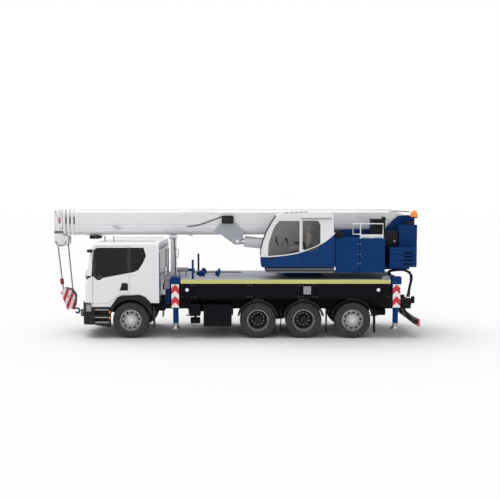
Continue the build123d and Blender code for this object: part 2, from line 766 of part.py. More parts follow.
def make_cab_fittings():
    seats = []
    for y in (-620.0, 620.0):
        seat = block(-3450, -2950, y - 250, y + 250, 1560, 1700)
        seat += plate_xz([(-3010, 1560), (-2900, 1560), (-2790, 2280), (-2900, 2300)], y - 240, y + 240)
        seat += block(-3400, -3000, y - 180, y + 180, CAB_FLOOR, 1570)
        seats.append(seat)
    NODES["cab_seats"] = group(*seats)

    dash = plate_xz(
        [(-4180, 1500), (-3880, 1500), (-3760, 1620), (-3780, 1730), (-3950, 1770), (-4180, 1730)],
        -1090, 1090,
    )
    column = bar((-3850, -620, 1640), (-3640, -620, 1810), 35)
    wheel = Pos(-3630, -620, 1818) * (Rot(0, -51, 0) * Torus(205, 18))
    spokes = Pos(-3630, -620, 1818) * (Rot(0, -51, 0) * Box(40, 400, 22))
    room = cab_solid([(CAB_FLOOR, CAB_FLOOR), (1700, 1700), (2560, 2560)], CAB_WALL + SEAM)
    NODES["cab_dashboard"] = (dash & room) + column + wheel + spokes

    plan = [(-4040, -1235), (-4270, -1190), (-4400, -700), (-4430, 0), (-4400, 700), (-4270, 1190),
            (-4040, 1235), (BUMPER_REAR, 1235), (BUMPER_REAR, 900), (-3600, 900), (-3600, 1060), (-3900, 1060),
            (-4230, 600), (-4230, -600), (-3900, -1060), (-3600, -1060), (-3600, -900),
            (BUMPER_REAR, -900), (BUMPER_REAR, -1235)]
    bumper = plate_xy(plan, 330, 900)
    bumper -= plate_xz([(-3600, 200), (-3600, 340), (-3960, 400), (-4500, 400), (-4500, 200)], -1300, 1300)
    for low in (470.0, 690.0):
        for sign in (-1, 1):
            y0, y1 = sorted((sign * 1120, sign * 1240))
            bumper -= block(-3960, -3560, y0, y1, low, low + 150)
    for sign in (-1, 1):
        bumper -= rod_z(AXLE_X[0], sign * KINGPIN_Y, TURN_CLEAR_R, 300, 910)
    bumper -= block(-4500, -4180, -560, 560, 560, 800)
    bumper += block(-4300, RAIL_FRONT, -RAIL_Y, RAIL_Y, 770, 890)
    jaw = block(-4560, -4240, -70, 70, 470, 560) + block(-4330, -4220, -70, 70, 470, 800)
    jaw += block(-4630, -4550, -70, -35, 450, 650) + block(-4630, -4550, 35, 70, 450, 650)
    jaw += block(-4630, -4550, -70, 70, 450, 480)
    recess = plate_xy(inset_outline(HEADLAMP, -SEAM), 700 - SEAM, 905)
    NODES["cab_bumper"] = bumper + jaw - recess - mirrored(recess)

    headlamp = plate_xy(HEADLAMP, 700, 1018)
    lamps = [headlamp, mirrored(headlamp)]
    skin = [(z, z) for z, _, _ in CAB_LEVELS[:3]]
    grille = cab_solid(skin, -16) - cab_solid(skin, -SEAM)
    grille &= block(-4500, -4200, -560, 560, 960, 1560)
    for i in range(5):
        low = 1000 + i * 112
        grille -= block(-4500, -4200, -520, 520, low, low + 70)
    mirror_arm = block(-4135, -4010, 1120, HALF_WIDTH, 2470, 2550)
    mirror_arm -= cab_solid([(z, z) for z, _, _ in CAB_LEVELS[1:4]], -SEAM)
    marker = block(-3540, -3505, 1235 + SEAM, 1247, 560, 820)
    for sign in (-1, 1):
        y0, y1 = sorted((sign * 760, sign * 1120))
        lamps.append(block(5290, 5350, y0, y1, 330, 545))
    NODES["lamps"] = group(*lamps)
    NODES["cab_trim"] = group(grille, both_sides(mirror_arm), both_sides(marker))


def make_deck_fittings():
    post = block(-1905, -1735, -90, 90, DECK_TOP, 2860)
    post += plate_yz([(-230, 2912), (-230, 2840), (-120, 2780), (120, 2780), (230, 2840), (230, 2912)],
                     -1925, -1725)
    NODES["boom_rest"] = post
    stake = block(-1190, -1130, 1070, 1130, DECK_TOP, 2255)
    roll = rod_x(-300, 1889, 66, -1690, -1360) + block(-1640, -1600, -340, -260, DECK_TOP, 1840)
    roll += block(-1450, -1410, -340, -260, DECK_TOP, 1840)
    NODES["deck_fittings"] = group(both_sides(stake), roll)


def make_tail():
    arm = plate_xz([(4970, 760), (5060, 740), (5250, 430), (5180, 400)], 520, 560)
    arm += block(4975, 5060, RAIL_Y, 530, 750, 850)
    half = arm
    tail = half + mirrored(half)
    tail += block(5180, 5290, -1150, 1150, 400, 540)
    tail += block(CROSS_X[-1] + CROSS_HALF, 5330, -120, 120, 790, 980)
    jaw = rod_z(5400, 0, COUPLING_R + COUPLING_WALL, 840, 1040) - rod_z(5400, 0, COUPLING_R, 800, 1100)
    tail += block(5325, 5400 - (COUPLING_R + COUPLING_WALL / 2), -50, 50, 880, 930) + jaw
    NODES["tail_frame"] = tail


# Turntable

CHEEK_OUTLINE = [
    (1300, PLATFORM_TOP - 20), (1320, 2200), (2600, 2470), (3000, 3085), (4472, 3100), (4674, 3337),
    (4848, 3483), (5141, 3513), (5330, 3425), (5330, PLATFORM_TOP - 20),
]


def make_turntable():
    frame = rod_z(SLEW_X, 0, RING_R, RING_SEAT_TOP + RING_CLEAR, PLATFORM_BOTTOM - 5)
    frame += rod_z(SLEW_X, 0, 510, PLATFORM_BOTTOM - 10, PLATFORM_BOTTOM + 20)
    frame += block(1200, 4440, -520, 520, PLATFORM_BOTTOM, PLATFORM_TOP)
    frame += block(4430, 5200, -CHEEK_INNER_Y - CHEEK_THICK, CHEEK_INNER_Y + CHEEK_THICK,
                   PLATFORM_BOTTOM, PLATFORM_TOP)
    cheek = plate_xz(CHEEK_OUTLINE, CHEEK_INNER_Y, CHEEK_INNER_Y + CHEEK_THICK)
    frame += cheek + mirrored(cheek)
    for sign in (-1, 1):
        y0, y1 = sorted((sign * (CHEEK_INNER_Y - 1), sign * (CHEEK_INNER_Y + CHEEK_THICK + 1)))
        frame -= rod_y(*WINCH, WINCH_SHAFT_R + RUNNING_CLEAR, y0, y1)
    reach = CHEEK_INNER_Y + CHEEK_THICK + 8
    frame += rod_y(PIVOT_X, PIVOT_Z, PIVOT_R, -reach, reach)
    frame += rod_y(LIFT_BASE_X, LIFT_BASE_Z, LIFT_PIN_R, -reach, reach)
    frame += block(3500, 3560, -CHEEK_INNER_Y - 5, CHEEK_INNER_Y + 5, PLATFORM_TOP - 5, 2500)
    NODES["turntable_frame"] = frame

    drum_x, drum_z = WINCH
    drum = rod_y(drum_x, drum_z, 175, -250, 250)
    for low, high in ((-285, -255), (255, 285)):
        drum += rod_y(drum_x, drum_z, 240, low, high)
    drum += rod_y(drum_x, drum_z, WINCH_SHAFT_R, -340, 340)
    NODES["winch_drum"] = drum
    housing = []
    for sign in (-1, 1):
        y0, y1 = sorted((sign * (CHEEK_INNER_Y + CHEEK_THICK), sign * 720))
        housing.append(block(4800, 5322, y0, y1, BALLAST_TOP, HOUSING_TOP))
    NODES["winch_housing"] = group(*housing)


def make_superstructure():
    inner = 520.0
    left = [block(2906, 3569, -1250, -inner, 1895, 2868), block(3581, 4296, -1250, -inner, 1895, 2868)]
    left.append(block(3000, 4296, -inner, -CHEEK_INNER_Y - CHEEK_THICK - 10, PLATFORM_TOP, 3080))
    right = [block(1150, 2700, inner, 1250, 1895, 2600), block(2712, 4296, inner, 1250, 1895, 2868)]
    NODES["side_cabinets"] = group(*left, *right)

    rail = bar((3400, -1180, 2868), (3400, -1180, 3290), 14)
    rail += bar((3700, -1180, 2868), (3700, -1180, 3290), 14)
    rail += bar((3920, -1180, 2868), (3920, -1180, 3290), 14)
    rail += bar((4255, -1180, 2868), (4255, -1180, 3290), 14)
    rail += bar((3386, -1180, 3290), (4269, -1180, 3290), 14)
    rail += bar((3386, -1180, 3080), (4269, -1180, 3080), 14)
    NODES["railing"] = rail
    NODES["oil_cooler"] = block(3950, 4328, -1080, -640, 2868, 3408)

    ballast = plate_xy(
        [(4446, -1200), (5205, -1200), (5345, -650), (5345, 650), (5205, 1200), (4446, 1200)],
        BALLAST_BOTTOM, BALLAST_TOP,
    )
    slot = CHEEK_INNER_Y + CHEEK_THICK
    ballast -= block(4440, 5400, -slot, slot, BALLAST_BOTTOM - 5, BALLAST_TOP + 5)
    NODES["counterweight"] = ballast
    NODES["beacon"] = group(rod_z(5255, -560, 62, 3480, 3640) + rod_z(5255, -560, 25, HOUSING_TOP, 3490))


# Operator's cab

# height, front of the side wall
OPCAB_SIDE = [
    (2339, 780), (2545, 795), (2760, 850), (3044, 955), (3329, 1110), (3500, 1230), (3560, 1330),
]
OPCAB_OUT_Y = -1222.0
OPCAB_IN_Y = -400.0


def opcab_outline(inset):
    """Side outline of the operator's cab, with its bowed front."""
    front = [(PLATFORM_TOP, 830), (2075, 790), (2200, 772)] + OPCAB_SIDE
    points = [(x, z) for z, x in front]
    points += [(1890, 3600), (2776, 3598), (2835, 3540), (2845, 3100), (2890, 2860),
               (2890, PLATFORM_TOP)]
    return inset_outline(points[::-1], inset)


def make_operator_cab():
    wall = 40.0
    shell = plate_xz(opcab_outline(0), OPCAB_OUT_Y, OPCAB_IN_Y)
    shell -= plate_xz(opcab_outline(wall), OPCAB_OUT_Y + wall, OPCAB_IN_Y - wall)
    door_hole = [(960, 2150), (1880, 2150), (1880, 3370), (1290, 3370), (1120, 3150), (960, 2700)]
    shell -= plate_xz(door_hole, OPCAB_OUT_Y - 5, OPCAB_OUT_Y + wall + 5)
    side_window = [(1960, 2560), (2190, 2470), (2470, 2640), (2470, 3250), (2400, 3370), (1960, 3370)]
    shell -= plate_xz(side_window, OPCAB_OUT_Y - 5, OPCAB_OUT_Y + wall + 5)
    front_hole = [(-1150, 2380), (-470, 2380), (-470, 3470), (-1150, 3470)]
    shell -= plate_yz(front_hole, 700, 1250)
    top_hole = [(1420, -1150), (2200, -1150), (2200, -470), (1420, -470)]
    shell -= plate_xy(top_hole, 3500, 3700)
    base = block(930, 2905, OPCAB_OUT_Y - 45, OPCAB_OUT_Y + 100, 1897, 2022)
    base += block(900, 2890, OPCAB_OUT_Y + 95, -520, 1940, PLATFORM_TOP + 1)
    rail = block(1240, 2790, OPCAB_OUT_Y - 40, OPCAB_OUT_Y + 1, 3416, 3446)
    rail -= block(1290, 2770, OPCAB_OUT_Y - 29, OPCAB_OUT_Y - 17, 3410, 3436)
    base += rail
    NODES["operator_cab"] = shell + base

    panes = plate_xz(opcab_outline(12), -1150 + SEAM, -470 - SEAM)
    panes -= plate_xz(opcab_outline(12 + GLASS_THICK), -1160, -460)
    windscreen = panes & block(700, 1252, -1200, -400, 2380 + SEAM, 3470 - SEAM)
    roof_pane = panes & block(1420 + SEAM, 2200 - SEAM, -1200, -400, 3500, 3700)
    side_pane = plate_xz(inset_outline(side_window, SEAM), OPCAB_OUT_Y + 12, OPCAB_OUT_Y + 12 + GLASS_THICK)
    NODES["operator_glass"] = group(windscreen, roof_pane, side_pane)

    y1 = OPCAB_OUT_Y - 6
    y0 = y1 - 34
    leaf_outline = [(900, 2060), (1925, 2060), (1925, 3410), (1260, 3410), (1085, 3170), (925, 2720)]
    pane_outline = [(985, 2420), (1870, 2530), (1870, 3355), (1295, 3355), (1150, 3160), (1010, 2730)]
    leaf = plate_xz(leaf_outline, y0, y1) - plate_xz(pane_outline, y0 - 1, y1 + 1)
    leaf += block(1310, 1880, OPCAB_OUT_Y - 29 + SEAM, OPCAB_OUT_Y - 17 - SEAM, 3409, 3430)
    pane = plate_xz(inset_outline(pane_outline, SEAM), y0 + 12, y0 + 12 + GLASS_THICK)
    NODES["operator_door"] = group(leaf, pane)

    seat = block(1620, 2100, -1050, -620, 2480, 2600)
    seat += plate_xz([(2060, 2480), (2160, 2480), (2260, 3150), (2160, 3170)], -1040, -630)
    floor = PLATFORM_TOP + wall
    seat += block(1700, 2050, -980, -690, floor, 2490)
    console = [plate_xz([(1250, floor), (1420, floor), (1420, 2650), (1250, 2700)], -900, -770)]
    for y in (-1130, -560):
        console.append(block(1500, 1950, y, y + 70, floor, 2640))
    NODES["operator_seat"] = group(seat, *console)


# Boom

BOOM_OUTLINE = [
    (-110, BOOM_BOTTOM), (110, BOOM_BOTTOM), (195, 2975), (252, 3095), (BOOM_HALF, 3235),
    (BOOM_HALF, 3580), (198, BOOM_TOP), (-198, BOOM_TOP), (-BOOM_HALF, 3580), (-BOOM_HALF, 3235),
    (-252, 3095), (-195, 2975),
]

# name, rear end of the tube, front of the collar, rear of the collar
BOOM_SECTIONS = [
    ("boom_section_2", 4250.0, -4833.0, -4758.0),
    ("boom_section_3", 4150.0, -4953.0, -4878.0),
    ("boom_section_4", 4050.0, -5073.0, -4998.0),
    ("boom_section_5", 3950.0, -5110.0, -5110.0),
]


def boom_tube(inset, rear, front):
    """Box section of the boom, open at both ends."""
    tube = plate_yz(inset_outline(BOOM_OUTLINE, inset), front, rear)
    return tube - plate_yz(inset_outline(BOOM_OUTLINE, inset + BOOM_WALL), front - 1, rear + 1)


def wear_pads(inset, front):
    """Pads inside the mouth of a section, which the next section slides on."""
    floor = BOOM_BOTTOM + inset + BOOM_WALL
    pads = Part()
    for side in (-1, 1):
        y0, y1 = sorted((side * 25, side * 70))
        pads += block(front + 5, front + 245, y0, y1, floor - 1, floor + BOOM_GAP - SEAM)
    return pads


def boom_collar(inset, rear, front):
    """Ring at the head of a section, as big as the base section."""
    ring = plate_yz(inset_outline(BOOM_OUTLINE, -COLLAR_PROUD), front, rear)
    return ring - plate_yz(inset_outline(BOOM_OUTLINE, inset + BOOM_WALL), front - 1, rear + 1)


def make_boom():
    base = boom_tube(0, BOOM_BASE_REAR, BOOM_BASE_FRONT)
    base += boom_collar(0, BOOM_BASE_FRONT + 60, BOOM_BASE_FRONT - 63)
    base += wear_pads(0, BOOM_BASE_FRONT)
    foot_outline = [
        (4580, BOOM_BOTTOM + 20), (4640, BOOM_BOTTOM + 20), (4960, 3110), (5110, 3110), (5230, 3230),
        (5230, 3350), (5110, 3480), (4850, 3590), (4640, 3640), (4580, 3640),
    ]
    foot = plate_xz(foot_outline, 150, BOOM_HALF - 2)
    base += foot + mirrored(foot)
    base += rod_y(PIVOT_X, PIVOT_Z, 130, -BOOM_HALF - 30, BOOM_HALF + 30)
    base -= rod_y(PIVOT_X, PIVOT_Z, PIVOT_R + RUNNING_CLEAR, -400, 400)
    bracket = plate_xz(
        [(-600, 3030), (-380, 3290), (40, 3290), (300, 3010), (290, 2930), (190, 2630), (20, 2630),
         (-430, 2960)],
        BOOM_HALF - 20, BOOM_HALF + 34,
    )
    bracket -= rod_y(LIFT_EYE_X, LIFT_EYE_Z, LIFT_PIN_R + 6, 100, 400)
    base += bracket + mirrored(bracket)
    NODES["boom_base"] = base

    for step, (name, rear, front, back) in enumerate(BOOM_SECTIONS, start=1):
        inset = step * (BOOM_WALL + BOOM_GAP)
        section = boom_tube(inset, rear, front)
        if back > front:
            section += boom_collar(inset, back, front) + wear_pads(inset, front)
        if name == "boom_section_5":
            section += boom_head()
        NODES[name] = section


HEAD_OUTLINE = [
    (-5348, 3560), (-5300, 3640), (-5110, 3640), (-5103, 2896), (-4945, 2870), (-4945, 2660),
    (-5020, 2575), (-5260, 2575), (-5335, 2660), (-5348, 2960),
]


def boom_head():
    """Side plates with the upper and lower sheaves between them."""
    cheek = plate_xz(HEAD_OUTLINE, 165, 205)
    head = cheek + mirrored(cheek)
    head += plate_yz(inset_outline(BOOM_OUTLINE, 30), -5140, -5105)
    head += rod_y(SHEAVE_X, SHEAVE_Z, 40, -225, 225)
    head += rod_y(-5215, 3500, 35, -225, 225)
    for y in (-120, -40, 40, 120):
        head += rod_y(SHEAVE_X, SHEAVE_Z, SHEAVE_R, y - 22, y + 22)
    head += rod_y(-5215, 3500, 150, -30, 30)
    return head


def make_hook():
    """Hook block on its rope falls, with the shackle that tethers it on the road."""
    place = Location((HOOK_X, 0, HOOK_Z), (0, HOOK_TILT, 0))
    cheek = [(-60, -310), (60, -310), (165, -190), (165, 150), (100, 270), (-100, 270), (-165, 150),
             (-165, -190)]
    body = plate_xz(cheek, -110, -70) + plate_xz(cheek, 70, 110)
    for y in FALL_Y:
        body += rod_y(0, 60, BLOCK_SHEAVE_R, y - 22, y + 22)
    body += rod_y(0, 60, 35, -130, 130)
    body += plate_xz([(-60, -300), (60, -300), (110, -120), (-110, -120)], -75, 75)
    body += bar((0, 0, -290), (0, 0, -352), 34)
    hook = Pos(0, 0, -410) * (Rot(90, 0, 0) * Torus(72, 26))
    hook -= block(20, 120, -60, 60, -400, -330)
    shackle = Pos(62, 0, -470) * (Rot(0, 35, 0) * Torus(52, 14))
    block_and_hook = place * (body + hook + shackle)

    top = Vector(SHEAVE_X, 0, SHEAVE_Z)
    low = (place * Pos(0, 0, 60)).position
    down = (low - top).normalized()
    across = Vector(down.Z, 0, -down.X)
    for side in (-1, 1):
        for y in FALL_Y:
            start = top + across * (side * (SHEAVE_R + SEAM + ROPE_R)) + Vector(0, y, 0)
            end = low + across * (side * (BLOCK_SHEAVE_R - ROPE_R / 2)) + Vector(0, y, 0)
            block_and_hook += bar(tuple(start), tuple(end), ROPE_R)
    NODES["hook_block"] = block_and_hook


def make_lift_cylinder():
    base = Vector(LIFT_BASE_X, 0, LIFT_BASE_Z)
    eye = Vector(LIFT_EYE_X, 0, LIFT_EYE_Z)
    axis = (eye - base).normalized()
    length = (eye - base).length

    def along(distance):
        point = base + axis * distance
        return (point.X, point.Y, point.Z)

    gland = length - 205
    barrel = bar(along(60), along(gland), LIFT_BARREL_R)
    barrel += rod_y(LIFT_BASE_X, LIFT_BASE_Z, 130, -150, 150)
    barrel += bar(along(0), along(80), 120)
    barrel -= bar(along(PISTON[0] - 10), along(gland - LIFT_GLAND), LIFT_BORE_R)
    barrel -= bar(along(gland - LIFT_GLAND - 10), along(gland + 10), LIFT_ROD_R + 1.0)
    barrel -= rod_y(LIFT_BASE_X, LIFT_BASE_Z, LIFT_PIN_R + RUNNING_CLEAR, -200, 200)
    NODES["lift_barrel"] = barrel
    rod = bar(along(PISTON[0]), along(length - 60), LIFT_ROD_R)
    rod += bar(along(PISTON[0]), along(PISTON[1]), LIFT_BORE_R - PISTON_CLEAR)
    rod += rod_y(LIFT_EYE_X, LIFT_EYE_Z, 118, -100, 100)
    rod += rod_y(LIFT_EYE_X, LIFT_EYE_Z, LIFT_PIN_R, -236, 236)
    NODES["lift_rod"] = rod


def main():
    make_wheels()
    make_axles()
    make_chassis()
    make_outriggers()
    make_deck()
    make_mudguards()
    make_side_boxes()
    make_carrier_cab()
    make_cab_fittings()
    make_deck_fittings()
    make_tail()
    make_turntable()
    make_superstructure()
    make_operator_cab()
    make_boom()
    make_hook()
    make_lift_cylinder()
    os.makedirs("parts", exist_ok=True)
    for name, shape in NODES.items():
        export_step(shape, f"parts/{name}.step")
    print(len(NODES), "nodes")


main()
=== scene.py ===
"""Looks of a four-axle truck crane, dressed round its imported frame.

Metres in the row frame: +X runs to the rear, +Y to the passenger's side, +Z up.
"""
import logging
import math
from collections.abc import Iterable, Sequence
from dataclasses import dataclass, field
from enum import Enum

import bmesh
import bpy
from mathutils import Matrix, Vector


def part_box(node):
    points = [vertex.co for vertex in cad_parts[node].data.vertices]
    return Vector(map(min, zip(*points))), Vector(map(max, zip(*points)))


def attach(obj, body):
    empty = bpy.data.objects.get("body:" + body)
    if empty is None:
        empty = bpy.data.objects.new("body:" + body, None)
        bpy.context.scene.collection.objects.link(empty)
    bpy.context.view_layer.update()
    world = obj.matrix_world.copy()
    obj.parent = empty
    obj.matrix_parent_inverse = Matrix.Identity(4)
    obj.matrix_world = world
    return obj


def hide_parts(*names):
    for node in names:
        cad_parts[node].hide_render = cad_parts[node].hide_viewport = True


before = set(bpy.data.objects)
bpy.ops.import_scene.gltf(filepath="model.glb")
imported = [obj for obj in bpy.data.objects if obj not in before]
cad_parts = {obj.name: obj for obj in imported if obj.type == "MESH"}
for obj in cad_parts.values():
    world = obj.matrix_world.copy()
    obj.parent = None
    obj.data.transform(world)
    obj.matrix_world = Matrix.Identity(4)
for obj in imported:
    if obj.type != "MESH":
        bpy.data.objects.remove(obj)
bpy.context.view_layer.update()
LOG = logging.getLogger("crane")

Point = tuple[float, float, float]
Flat = tuple[float, float]
Colour = tuple[float, float, float]


class Axis(Enum):
    """The row axis that a form runs along."""

    X = 0
    Y = 1
    Z = 2

    def place(self, along: float, pair: Flat) -> Point:
        """Point at a distance along the axis and a pair across it, in X, Y, Z order.

        Args:
            along: coordinate on this axis.
            pair: the other two coordinates.

        Returns:
            The point in the row frame.
        """
        values = list(pair)
        values.insert(self.value, along)
        return (values[0], values[1], values[2])


class Side(Enum):
    """The two sides of the vehicle, as the sign of Y."""

    LEFT = -1
    RIGHT = 1

    @property
    def word(self) -> str:
        """The side's name as the frame writes it."""
        return self.name.lower()


class Graph:
    """A material's or world's node tree, with short calls for the nodes used here."""

    def __init__(self, owner: bpy.types.Material | bpy.types.World) -> None:
        """Clears the owner's tree and adds the output, and a material's surface shader."""
        owner.use_nodes = True
        self.tree = owner.node_tree
        self.tree.nodes.clear()
        if isinstance(owner, bpy.types.World):
            self.output = self.add("ShaderNodeOutputWorld")
            self.place = self.add("ShaderNodeTexCoord").outputs["Generated"]
            return
        self.output = self.add("ShaderNodeOutputMaterial")
        self.shader = self.add("ShaderNodeBsdfPrincipled")
        self.link(self.shader.outputs[0], self.output.inputs[0])
        self.place = self.add("ShaderNodeTexCoord").outputs["Object"]

    def add(self, kind: str, **settings: object) -> bpy.types.Node:
        """Adds a node and sets its properties."""
        node = self.tree.nodes.new(kind)
        for name, value in settings.items():
            setattr(node, name, value)
        return node

    def link(self, source: bpy.types.NodeSocket, target: bpy.types.NodeSocket) -> None:
        """Joins two sockets."""
        self.tree.links.new(source, target)

    def feed(self, socket: bpy.types.NodeSocket, value: object) -> None:
        """Links a socket, or sets its own value when given a number or colour."""
        if isinstance(value, bpy.types.NodeSocket):
            self.link(value, socket)
        elif isinstance(value, tuple):
            socket.default_value = (*value, 1.0) if len(value) == 3 else value
        else:
            socket.default_value = value

    def math(self, kind: str, first: object, second: object = 0.0) -> bpy.types.NodeSocket:
        """Result of one arithmetic step."""
        node = self.add("ShaderNodeMath", operation=kind)
        self.feed(node.inputs[0], first)
        self.feed(node.inputs[1], second)
        return node.outputs[0]

    def split(self) -> tuple[bpy.types.NodeSocket, ...]:
        """The X, Y and Z of the point being shaded."""
        node = self.add("ShaderNodeSeparateXYZ")
        self.link(self.place, node.inputs[0])
        return tuple(node.outputs)

    def noise(self, scale: float, detail: float = 3.0) -> bpy.types.NodeSocket:
        """Cloudy noise at a scale per metre."""
        node = self.add("ShaderNodeTexNoise")
        self.link(self.place, node.inputs["Vector"])
        node.inputs["Scale"].default_value = scale
        node.inputs["Detail"].default_value = detail
        return node.outputs[0]

    def span(self, value: bpy.types.NodeSocket, low: float, high: float, start: float,
             end: float) -> bpy.types.NodeSocket:
        """Maps a value from one range to another, held at the ends."""
        node = self.add("ShaderNodeMapRange")
        self.feed(node.inputs["Value"], value)
        for name, number in zip(("From Min", "From Max", "To Min", "To Max"), (low, high, start, end)):
            node.inputs[name].default_value = number
        return node.outputs[0]

    def mix(self, share: object, first: object, second: object) -> bpy.types.NodeSocket:
        """Blends two colours."""
        node = self.add("ShaderNodeMix", data_type="RGBA")
        self.feed(node.inputs["Factor"], share)
        self.feed(node.inputs[6], first)
        self.feed(node.inputs[7], second)
        return node.outputs[2]

    def inside(self, outline: Sequence[Flat], across: bpy.types.NodeSocket,
               up: bpy.types.NodeSocket) -> bpy.types.NodeSocket:
        """1 inside a convex outline given clockwise or not, and 0 outside.

        Args:
            outline: corners as pairs of the two coordinates.
            across: the first coordinate.
            up: the second coordinate.

        Returns:
            A socket with the mask.
        """
        area = sum(a[0] * b[1] - b[0] * a[1] for a, b in zip(outline, [*outline[1:], outline[0]]))
        turn = 1.0 if area > 0 else -1.0
        mask = None
        for (ax, az), (bx, bz) in zip(outline, [*outline[1:], outline[0]]):
            lean = self.math("MULTIPLY", up, turn * (bx - ax))
            run = self.math("MULTIPLY", across, turn * (bz - az))
            edge = self.math("SUBTRACT", lean, run)
            kept = self.math("GREATER_THAN", edge, turn * ((bx - ax) * az - (bz - az) * ax))
            mask = kept if mask is None else self.math("MULTIPLY", mask, kept)
        return mask


@dataclass(frozen=True)
class Finish:
    """A painted, moulded or rubber surface, built once as a procedural material."""

    name: str
    colour: Colour
    rough: float = 0.4
    metal: float = 0.0
    coat: float = 0.0
    spec: float = 0.5
    mottle: float = 0.05
    mottle_scale: float = 1.7
    grain: float = 0.0
    grain_scale: float = 260.0
    dust: float = 0.0
    dust_top: float = 1.1

    def material(self) -> bpy.types.Material:
        """The Blender material, made at its first use."""
        name = f"{self.name}_finish"
        ready = bpy.data.materials.get(name)
        if ready:
            return ready
        material = bpy.data.materials.new(name)
        graph = Graph(material)
        shader = graph.shader.inputs
        base = self.pattern(graph)
        cloud = graph.noise(self.mottle_scale)
        deep = tuple(c * (1 - 3 * self.mottle) for c in self.colour)
        if base is None:
            base = graph.mix(graph.span(cloud, 0.3, 0.7, 0.0, 1.0), deep, self.colour)
        if self.dust:
            height = graph.split()[2]
            low = graph.span(height, 0.15, self.dust_top, self.dust, 0.0)
            base = graph.mix(graph.math("MULTIPLY", low, graph.noise(7.0, 6.0)), base, DUST)
        graph.feed(shader["Base Color"], base)
        patchy = graph.span(graph.noise(self.mottle_scale * 3, 5.0), 0.3, 0.7,
                            max(self.rough - 0.06, 0.02), self.rough + 0.06)
        graph.feed(shader["Roughness"], patchy)
        shader["Metallic"].default_value = self.metal
        shader["Specular IOR Level"].default_value = self.spec
        shader["Coat Weight"].default_value = self.coat
        shader["Coat Roughness"].default_value = 0.06
        if self.grain:
            bump = graph.add("ShaderNodeBump")
            bump.inputs["Distance"].default_value = self.grain
            graph.link(self.relief(graph), bump.inputs["Height"])
            graph.link(bump.outputs[0], shader["Normal"])
        self.extra(graph)
        return material

    def pattern(self, graph: Graph) -> bpy.types.NodeSocket | None:
        """Colour that varies by place, or None for the plain mottled colour."""
        return None

    def relief(self, graph: Graph) -> bpy.types.NodeSocket:
        """Height of the fine grain."""
        return graph.noise(self.grain_scale, 2.0)

    def extra(self, graph: Graph) -> None:
        """Settings that only some finishes have."""


@dataclass(frozen=True)
class Glass(Finish):
    """Tinted pane that lets some of the inside show."""

    alpha: float = 0.5

    def extra(self, graph: Graph) -> None:
        """Sets how much shows through."""
        graph.shader.inputs["Alpha"].default_value = self.alpha
        graph.shader.inputs["IOR"].default_value = 1.5


@dataclass(frozen=True)
class Lens(Finish):
    """Lamp lens or reflector that shines a little of itself, as painted light for the studio's light on it.
    """

    painted_glow: float = 0.15

    def extra(self, graph: Graph) -> None:
        """Sets how much it shines of itself: painted light for the studio's light on the lens."""
        graph.shader.inputs["Emission Color"].default_value = (*self.colour, 1.0)
        graph.shader.inputs["Emission Strength"].default_value = self.painted_glow


@dataclass(frozen=True)
class Striped(Finish):
    """Slanted warning stripes on the hook block."""

    other: Colour = (0.85, 0.85, 0.85)
    pitch: float = 0.15
    lean: float = 1.0

    def pattern(self, graph: Graph) -> bpy.types.NodeSocket:
        """Stripes of two colours, at a slant in the X-Z plane."""
        x, _, z = graph.split()
        run = graph.math("ADD", x, graph.math("MULTIPLY", z, self.lean))
        share = graph.math("FRACT", graph.math("DIVIDE", run, self.pitch))
        return graph.mix(graph.math("GREATER_THAN", share, 0.5), self.colour, self.other)


@dataclass(frozen=True)
class Chevrons(Finish):
    """Red chevrons that point up a white board."""

    other: Colour = (0.85, 0.85, 0.85)
    middle: float = 0.0
    foot: float = 0.9
    pitch: float = 0.33

    def pattern(self, graph: Graph) -> bpy.types.NodeSocket:
        """Chevrons about the board's own centre line."""
        x, _, z = graph.split()
        off = graph.math("ABSOLUTE", graph.math("SUBTRACT", x, self.middle))
        rise = graph.math("ADD", graph.math("SUBTRACT", z, self.foot), off)
        share = graph.math("FRACT", graph.math("DIVIDE", rise, self.pitch))
        red = graph.math("GREATER_THAN", share, 0.45)
        return graph.mix(red, self.other, self.colour)


@dataclass(frozen=True)
class Surround(Finish):
    """White cab paint with the gloss black band round the glass, a white strip at its front corners as
    painted highlight, and painted shade on the rear wall and along the pressed lines.
    """

    other: Colour = (0.009, 0.010, 0.012)
    # rear and seam are painted shade: grey for the rear wall in shade, and for the pressed lines
    rear: Colour = (0.30, 0.315, 0.375)
    seam: Colour = (0.42, 0.43, 0.45)
    front_x: float = -3.99

    def pattern(self, graph: Graph) -> bpy.types.NodeSocket:
        """Black inside the outlines of the glass, with painted shade in grey on the rear wall and along the
        pressed lines.
        """
        x, y, z = graph.split()
        ahead = graph.math("LESS_THAN", x, self.front_x)
        dark = graph.math("MULTIPLY", graph.inside(CAB_FRONT_BAND, y, z), ahead)
        for outline in CAB_BANDS:
            dark = graph.math("MAXIMUM", dark, graph.inside(outline, x, z))
        # mask of the pressed lines, where their shade is painted
        lines = None
        for outline in CAB_CREASES:
            line = graph.inside(outline, x, z)
            lines = line if lines is None else graph.math("MAXIMUM", lines, line)
        base = graph.mix(graph.math("MULTIPLY", lines, 0.5), self.colour, self.seam)
        base = graph.mix(graph.math("GREATER_THAN", x, CAB_REAR_X), base, self.rear)
        return graph.mix(dark, base, self.other)


